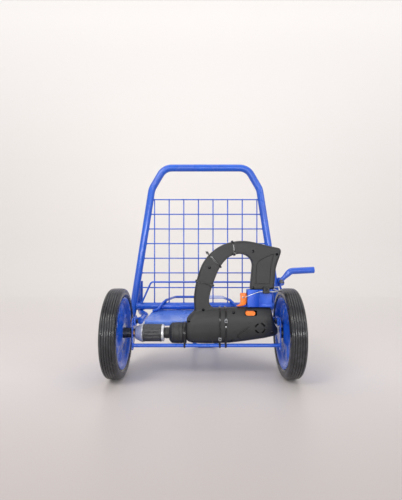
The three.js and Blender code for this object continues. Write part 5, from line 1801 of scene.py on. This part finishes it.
@dataclass
class Lever:
    """Side lever of flattened tube with its hook, bracket, bolt, nut and stop pin."""

    y: float = 187.0
    tube_radius: float = 11.0
    wall: float = 1.6
    pivot: tuple[float, float] = (253.0, 263.0)

    def tube(self) -> Surface:
        """Tube flattened at its pivot end and open at its grip end.

        At s along the path the section is an ellipse whose half height goes from 7.6 to R and half
        depth from 8.6 to R over 30 mm, as 3u^2 - 2u^3; the grip end turns in and runs back inside.
        """
        corners = [(248, self.y, 258.1), (287.4, self.y, 297), (366, self.y, 301)]
        line = bent_path(corners, 20.0, 1.6)
        fill = [line[0]]
        for a, b in zip(line[:-1], line[1:]):
            count = max(1, int(np.linalg.norm(b - a) / 3))
            fill += [a + (b - a) * k / count for k in range(1, count + 1)]
        path = np.array(fill)
        along = np.concatenate([[0], np.cumsum(np.linalg.norm(np.diff(path, axis=0), axis=1))])
        u = np.clip((along - 22) / 26, 0, 1)
        ease = 3 * u ** 2 - 2 * u ** 3
        high = 7.6 + (self.tube_radius - 7.6) * ease
        deep = 8.6 + (self.tube_radius - 8.6) * ease
        inner = 34
        back = path[::-1][:inner]
        shrink = np.full(inner, self.wall)
        shrink[-3:] = (3.5, 7.0, 10.0)
        whole = np.vstack([path, back])
        high = np.concatenate([high, high[::-1][:inner] - shrink])
        deep = np.concatenate([deep, deep[::-1][:inner] - shrink])
        first = np.minimum(along / 3.0, 1.0)
        high[:len(path)] *= np.sqrt(1 - (1 - first) ** 2) * 0.45 + 0.55
        tangent, _, _ = path_frames(path)
        tangent = np.vstack([tangent, tangent[::-1][:inner]])
        up = np.stack([-tangent[:, 2], np.zeros(len(tangent)), tangent[:, 0]], -1)
        t = np.linspace(0, TAU, 40, endpoint=False)[None, :, None]
        rows = (whole[:, None] + high[:, None, None] * np.cos(t) * up[:, None]
                + deep[:, None, None] * np.sin(t) * np.array([0.0, 1.0, 0.0]))
        return Surface.grid(rows)

    def build(self, palette: Palette) -> None:
        """Make and dress the lever and its fittings."""
        x, z = self.pivot
        arm = make_object("flattened_lever", self.tube(), 50)
        boolean(arm, self.along_y(4.6, 160, 215), "DIFFERENCE")
        arm.data.shade_smooth()
        arm.data.set_sharp_from_angle(angle=math.radians(40))
        place(arm, "lever", palette.blue, "side_lever")
        hook = bent_path([(x, self.y, z - 5.5), (x, self.y, 238.5), (x, 174.5, 238.5)], 6.0, 1.0)
        beads = weld_bead((x, self.y, 255.2), (0, 0, 1), 3.2, 1.3)
        put("lever_hook", Surface.join([swept(hook, 3.5, 20, 0.6), beads]), palette.blue,
            body="lever", angle=50)
        edge = 12.9 / math.cos(LAYOUT.lean)
        outline = [(LAYOUT.upright_x(275) + edge, 275), (LAYOUT.upright_x(243) + edge, 243),
                   (268, 249), (269, 260), (262, 274)]
        plate = slab(smooth_profile(outline, 3.0), 197, 200, "xz")
        bracket = make_object("lever_bracket_plate", plate, 35)
        boolean(bracket, self.along_y(4.3, 160, 215), "DIFFERENCE")
        bevel(bracket, 0.5, 2)
        place(bracket, "frame", palette.blue, "lever_bracket")
        seam = weld_tack((LAYOUT.upright_x(273) + 12.4, 196.6, 273),
                         (LAYOUT.upright_x(245) + 12.4, 196.6, 245), 1.7)
        put("lever_bracket_weld", seam, palette.blue, angle=60)
        head = self.turn_to_y(hex_piece((0, 0, 0), 1.0, 12.4, 5.0, 0.2), 172.8)
        shank = self.along_y(4.0, 177.0, 209.0)
        put("pivot_hex_bolt", Surface.join([head, shank]), palette.oxide, "lever_pivot_bolt",
            angle=30)
        nut = self.turn_to_y(hex_piece((0, 0, 0), 1.0, 12.4, 6.0, 4.2), 200.4)
        put("pivot_hex_nut", nut, palette.oxide, "lever_pivot_nut", angle=30)
        pin = straight((262.7, 180.8, 258.1), (262.7, 196.7, 258.1), 2.4, 28, 0.7)
        put("domed_stop_pin", pin, palette.oxide, "lever_stop_pin")
        LOG.info("lever: arm, hook, bracket, bolt")

    def along_y(self, radius: float, start: float, end: float) -> Surface:
        """Round bar along Y through the pivot."""
        return straight((self.pivot[0], start, self.pivot[1]), (self.pivot[0], end, self.pivot[1]),
                        radius, 36, 0.3)

    def turn_to_y(self, made: Surface, start: float) -> Surface:
        """Turn a piece made along X so that it runs along Y from start through the pivot."""
        p = made.points
        made.points = np.stack([self.pivot[0] + p[:, 1], start + p[:, 0], self.pivot[1] + p[:, 2]],
                               -1)
        return made


# ---- Internals, studio and main ----


@dataclass(frozen=True)
class Internals:
    """Pieces inside the drill that keep their CAD shape and only need a finish."""

    plastic: tuple[str, ...] = ("battery_pack", "trigger_switch")
    dark: tuple[str, ...] = ("drill_motor",)
    plated: tuple[str, ...] = ("output_spindle",)

    def build(self, palette: Palette) -> None:
        """Dress the hidden pieces."""
        for names, coat in ((self.plastic, palette.nylon), (self.dark, palette.oxide),
                            (self.plated, palette.plated)):
            for name in names:
                bare = bpy.data.objects[name]
                bare.data.materials.clear()
                bare.data.materials.append(coat.material)
        LOG.info("internals dressed")


@dataclass
class Studio:
    """Pale seamless backdrop, soft lamps and the camera."""

    floor_front: float = -2.4
    floor_back: float = 1.9
    wall_top: float = 3.2
    half_width: float = 4.0
    sweep: float = 0.9
    camera_at: tuple[float, float, float] = (-11.0, -1016.0, 338.0)
    lens: float = 25.55

    def backdrop(self, tones: Stops, glow: Stops) -> None:
        """Floor that curves up into a wall: y = yb + R sin a, z = R (1 - cos a) on the bend."""
        a = np.linspace(0, math.pi / 2, 24)
        line = [(self.floor_front, 0.0), (0.0, 0.0)]
        line += [(self.floor_back + self.sweep * math.sin(t),
                  self.sweep * (1 - math.cos(t))) for t in a]
        line.append((self.floor_back + self.sweep, self.wall_top))
        profile = np.array(line)
        xs = np.linspace(-self.half_width, self.half_width, 9)
        rows = np.array([[(x, y, z) for x in xs] for y, z in profile])
        index = np.arange(rows.shape[0] * rows.shape[1]).reshape(rows.shape[:2])
        quads = np.stack([index[:-1, :-1], index[:-1, 1:], index[1:, 1:], index[1:, :-1]], -1)
        mesh = bpy.data.meshes.new("backdrop")
        mesh.from_pydata(rows.reshape(-1, 3).tolist(), [], quads.reshape(-1, 4).tolist())
        mesh.shade_smooth()
        floor = bpy.data.objects.new("backdrop", mesh)
        bpy.context.scene.collection.objects.link(floor)
        floor.data.materials.append(self.paper(tones, glow))

    def paper(self, tones: Stops, glow: Stops) -> bpy.types.Material:
        """Satin paper whose tone and faint glow drift from the floor's front to the wall's top.

        Args:
            tones: (y + z in metres, hex) paper colour stops, darker in front as painted shade.
            glow: the same for its emission, painted light that brightens the wall towards its top.

        Returns:
            The material.
        """
        material = bpy.data.materials.new("backdrop_paper")
        material.use_nodes = True
        tree = material.node_tree
        tree.nodes.clear()
        at = add_node(tree, "ShaderNodeTexCoord").outputs["Object"]
        split = add_node(tree, "ShaderNodeSeparateXYZ", None, {"Vector": at})
        reach = add_node(tree, "ShaderNodeMath", {"operation": "ADD"}, {
            0: split.outputs["Y"], 1: split.outputs["Z"]})
        share = add_node(tree, "ShaderNodeMapRange", None, {
            "Value": reach.outputs["Value"], "From Min": -1.0, "From Max": 6.0})
        ramps = []
        for stops in (tones, glow):
            ramp = add_node(tree, "ShaderNodeValToRGB", None, {"Fac": share.outputs["Result"]})
            bands = ramp.color_ramp.elements
            for number, (at_reach, tone) in enumerate(stops):
                stop = bands[number] if number < 2 else bands.new(1.0)
                stop.position = (at_reach + 1.0) / 7.0
                stop.color = linear(tone)
            ramps.append(ramp.outputs["Color"])
        shader = add_node(tree, "ShaderNodeBsdfPrincipled", None, {
            "Base Color": ramps[0], "Roughness": 0.38, "IOR": 1.3,
            "Emission Color": ramps[1], "Emission Strength": 1.0})
        add_node(tree, "ShaderNodeOutputMaterial", None, {"Surface": shader.outputs["BSDF"]})
        return material

    def lamp(self, name: str, place_at: Point, target: Point, size: tuple[float, float],
             power: float, tone: str) -> None:
        """Add one soft rectangular lamp that faces a target."""
        data = bpy.data.lights.new(name, "AREA")
        data.shape = "RECTANGLE"
        data.size, data.size_y = size
        data.energy = power
        data.color = linear(tone)[:3]
        lamp = bpy.data.objects.new(name, data)
        bpy.context.scene.collection.objects.link(lamp)
        lamp.location = place_at
        way = Vector(target) - Vector(place_at)
        lamp.rotation_euler = way.to_track_quat("-Z", "Y").to_euler()

    def build(self) -> None:
        """Set up the backdrop, lamps, surroundings and camera."""
        scene = bpy.context.scene
        # The paper's tone darkens towards the floor's front as painted shade; its glow is painted
        # light.
        self.backdrop(
            ((-0.7, "#ada6a4"), (-0.1, "#cec8c7"), (0.6, "#d6d0cf"), (2.0, "#e4e0de")),
            ((0.6, "#000000"), (1.9, "#454342"), (3.3, "#5b5958"), (4.2, "#757372"),
             (5.8, "#a3a2a1")))
        self.lamp("key", (-1.3, -1.7, 1.9), (0, 0.1, 0.25), (0.9, 0.7), 26.0, "#fffaf4")
        self.lamp("fill", (1.8, -1.5, 1.3), (0, 0.1, 0.3), (1.2, 0.9), 12.0, "#f4f8ff")
        self.lamp("top", (0.0, 0.2, 2.6), (0, 0.2, 0.0), (2.4, 1.8), 15.0, "#ffffff")
        self.lamp("strip", (0.0, -2.2, 0.46), (0, 0.0, 0.2), (2.6, 0.10), 20.0, "#ffffff")
        world = bpy.data.worlds.new("soft_room")
        scene.world = world
        world.use_nodes = True
        tree = world.node_tree
        tree.nodes.clear()
        sky = add_node(tree, "ShaderNodeBackground", None, {"Color": linear("#f2f1f0"),
                                                           "Strength": 0.78})
        add_node(tree, "ShaderNodeOutputWorld", None, {"Surface": sky.outputs["Background"]})
        data = bpy.data.cameras.new("camera")
        data.lens = self.lens
        data.shift_x, data.shift_y = -0.003, 0.018
        camera = bpy.data.objects.new("camera", data)
        scene.collection.objects.link(camera)
        camera.location = CART.to_frame(np.array(self.camera_at)).tolist()
        camera.rotation_euler = (math.pi / 2, 0.0, 0.0)
        scene.camera = camera
        scene.view_settings.view_transform = "Standard"
        LOG.info("studio ready")


def main() -> None:
    """Build every sub-assembly in order."""
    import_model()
    CART.read()
    palette = Palette()
    Wheel("left", -254.0, "drive_wheel").build(palette)
    Wheel("right", 235.0, "idler_wheel").build(palette)
    Axles().build(palette)
    TubeFrame().build(palette)
    MeshBack().build(palette)
    tray = Tray()
    tray.build(palette)
    Rods().build(palette, tray)
    housing = DrillHousing()
    housing.build(palette)
    DriveNose().build(palette)
    Controls().build(palette)
    Straps(housing).build(palette)
    Cable().build(palette)
    Lever().build(palette)
    Internals().build(palette)
    Studio().build()


if __name__ == "__main__":
    main()
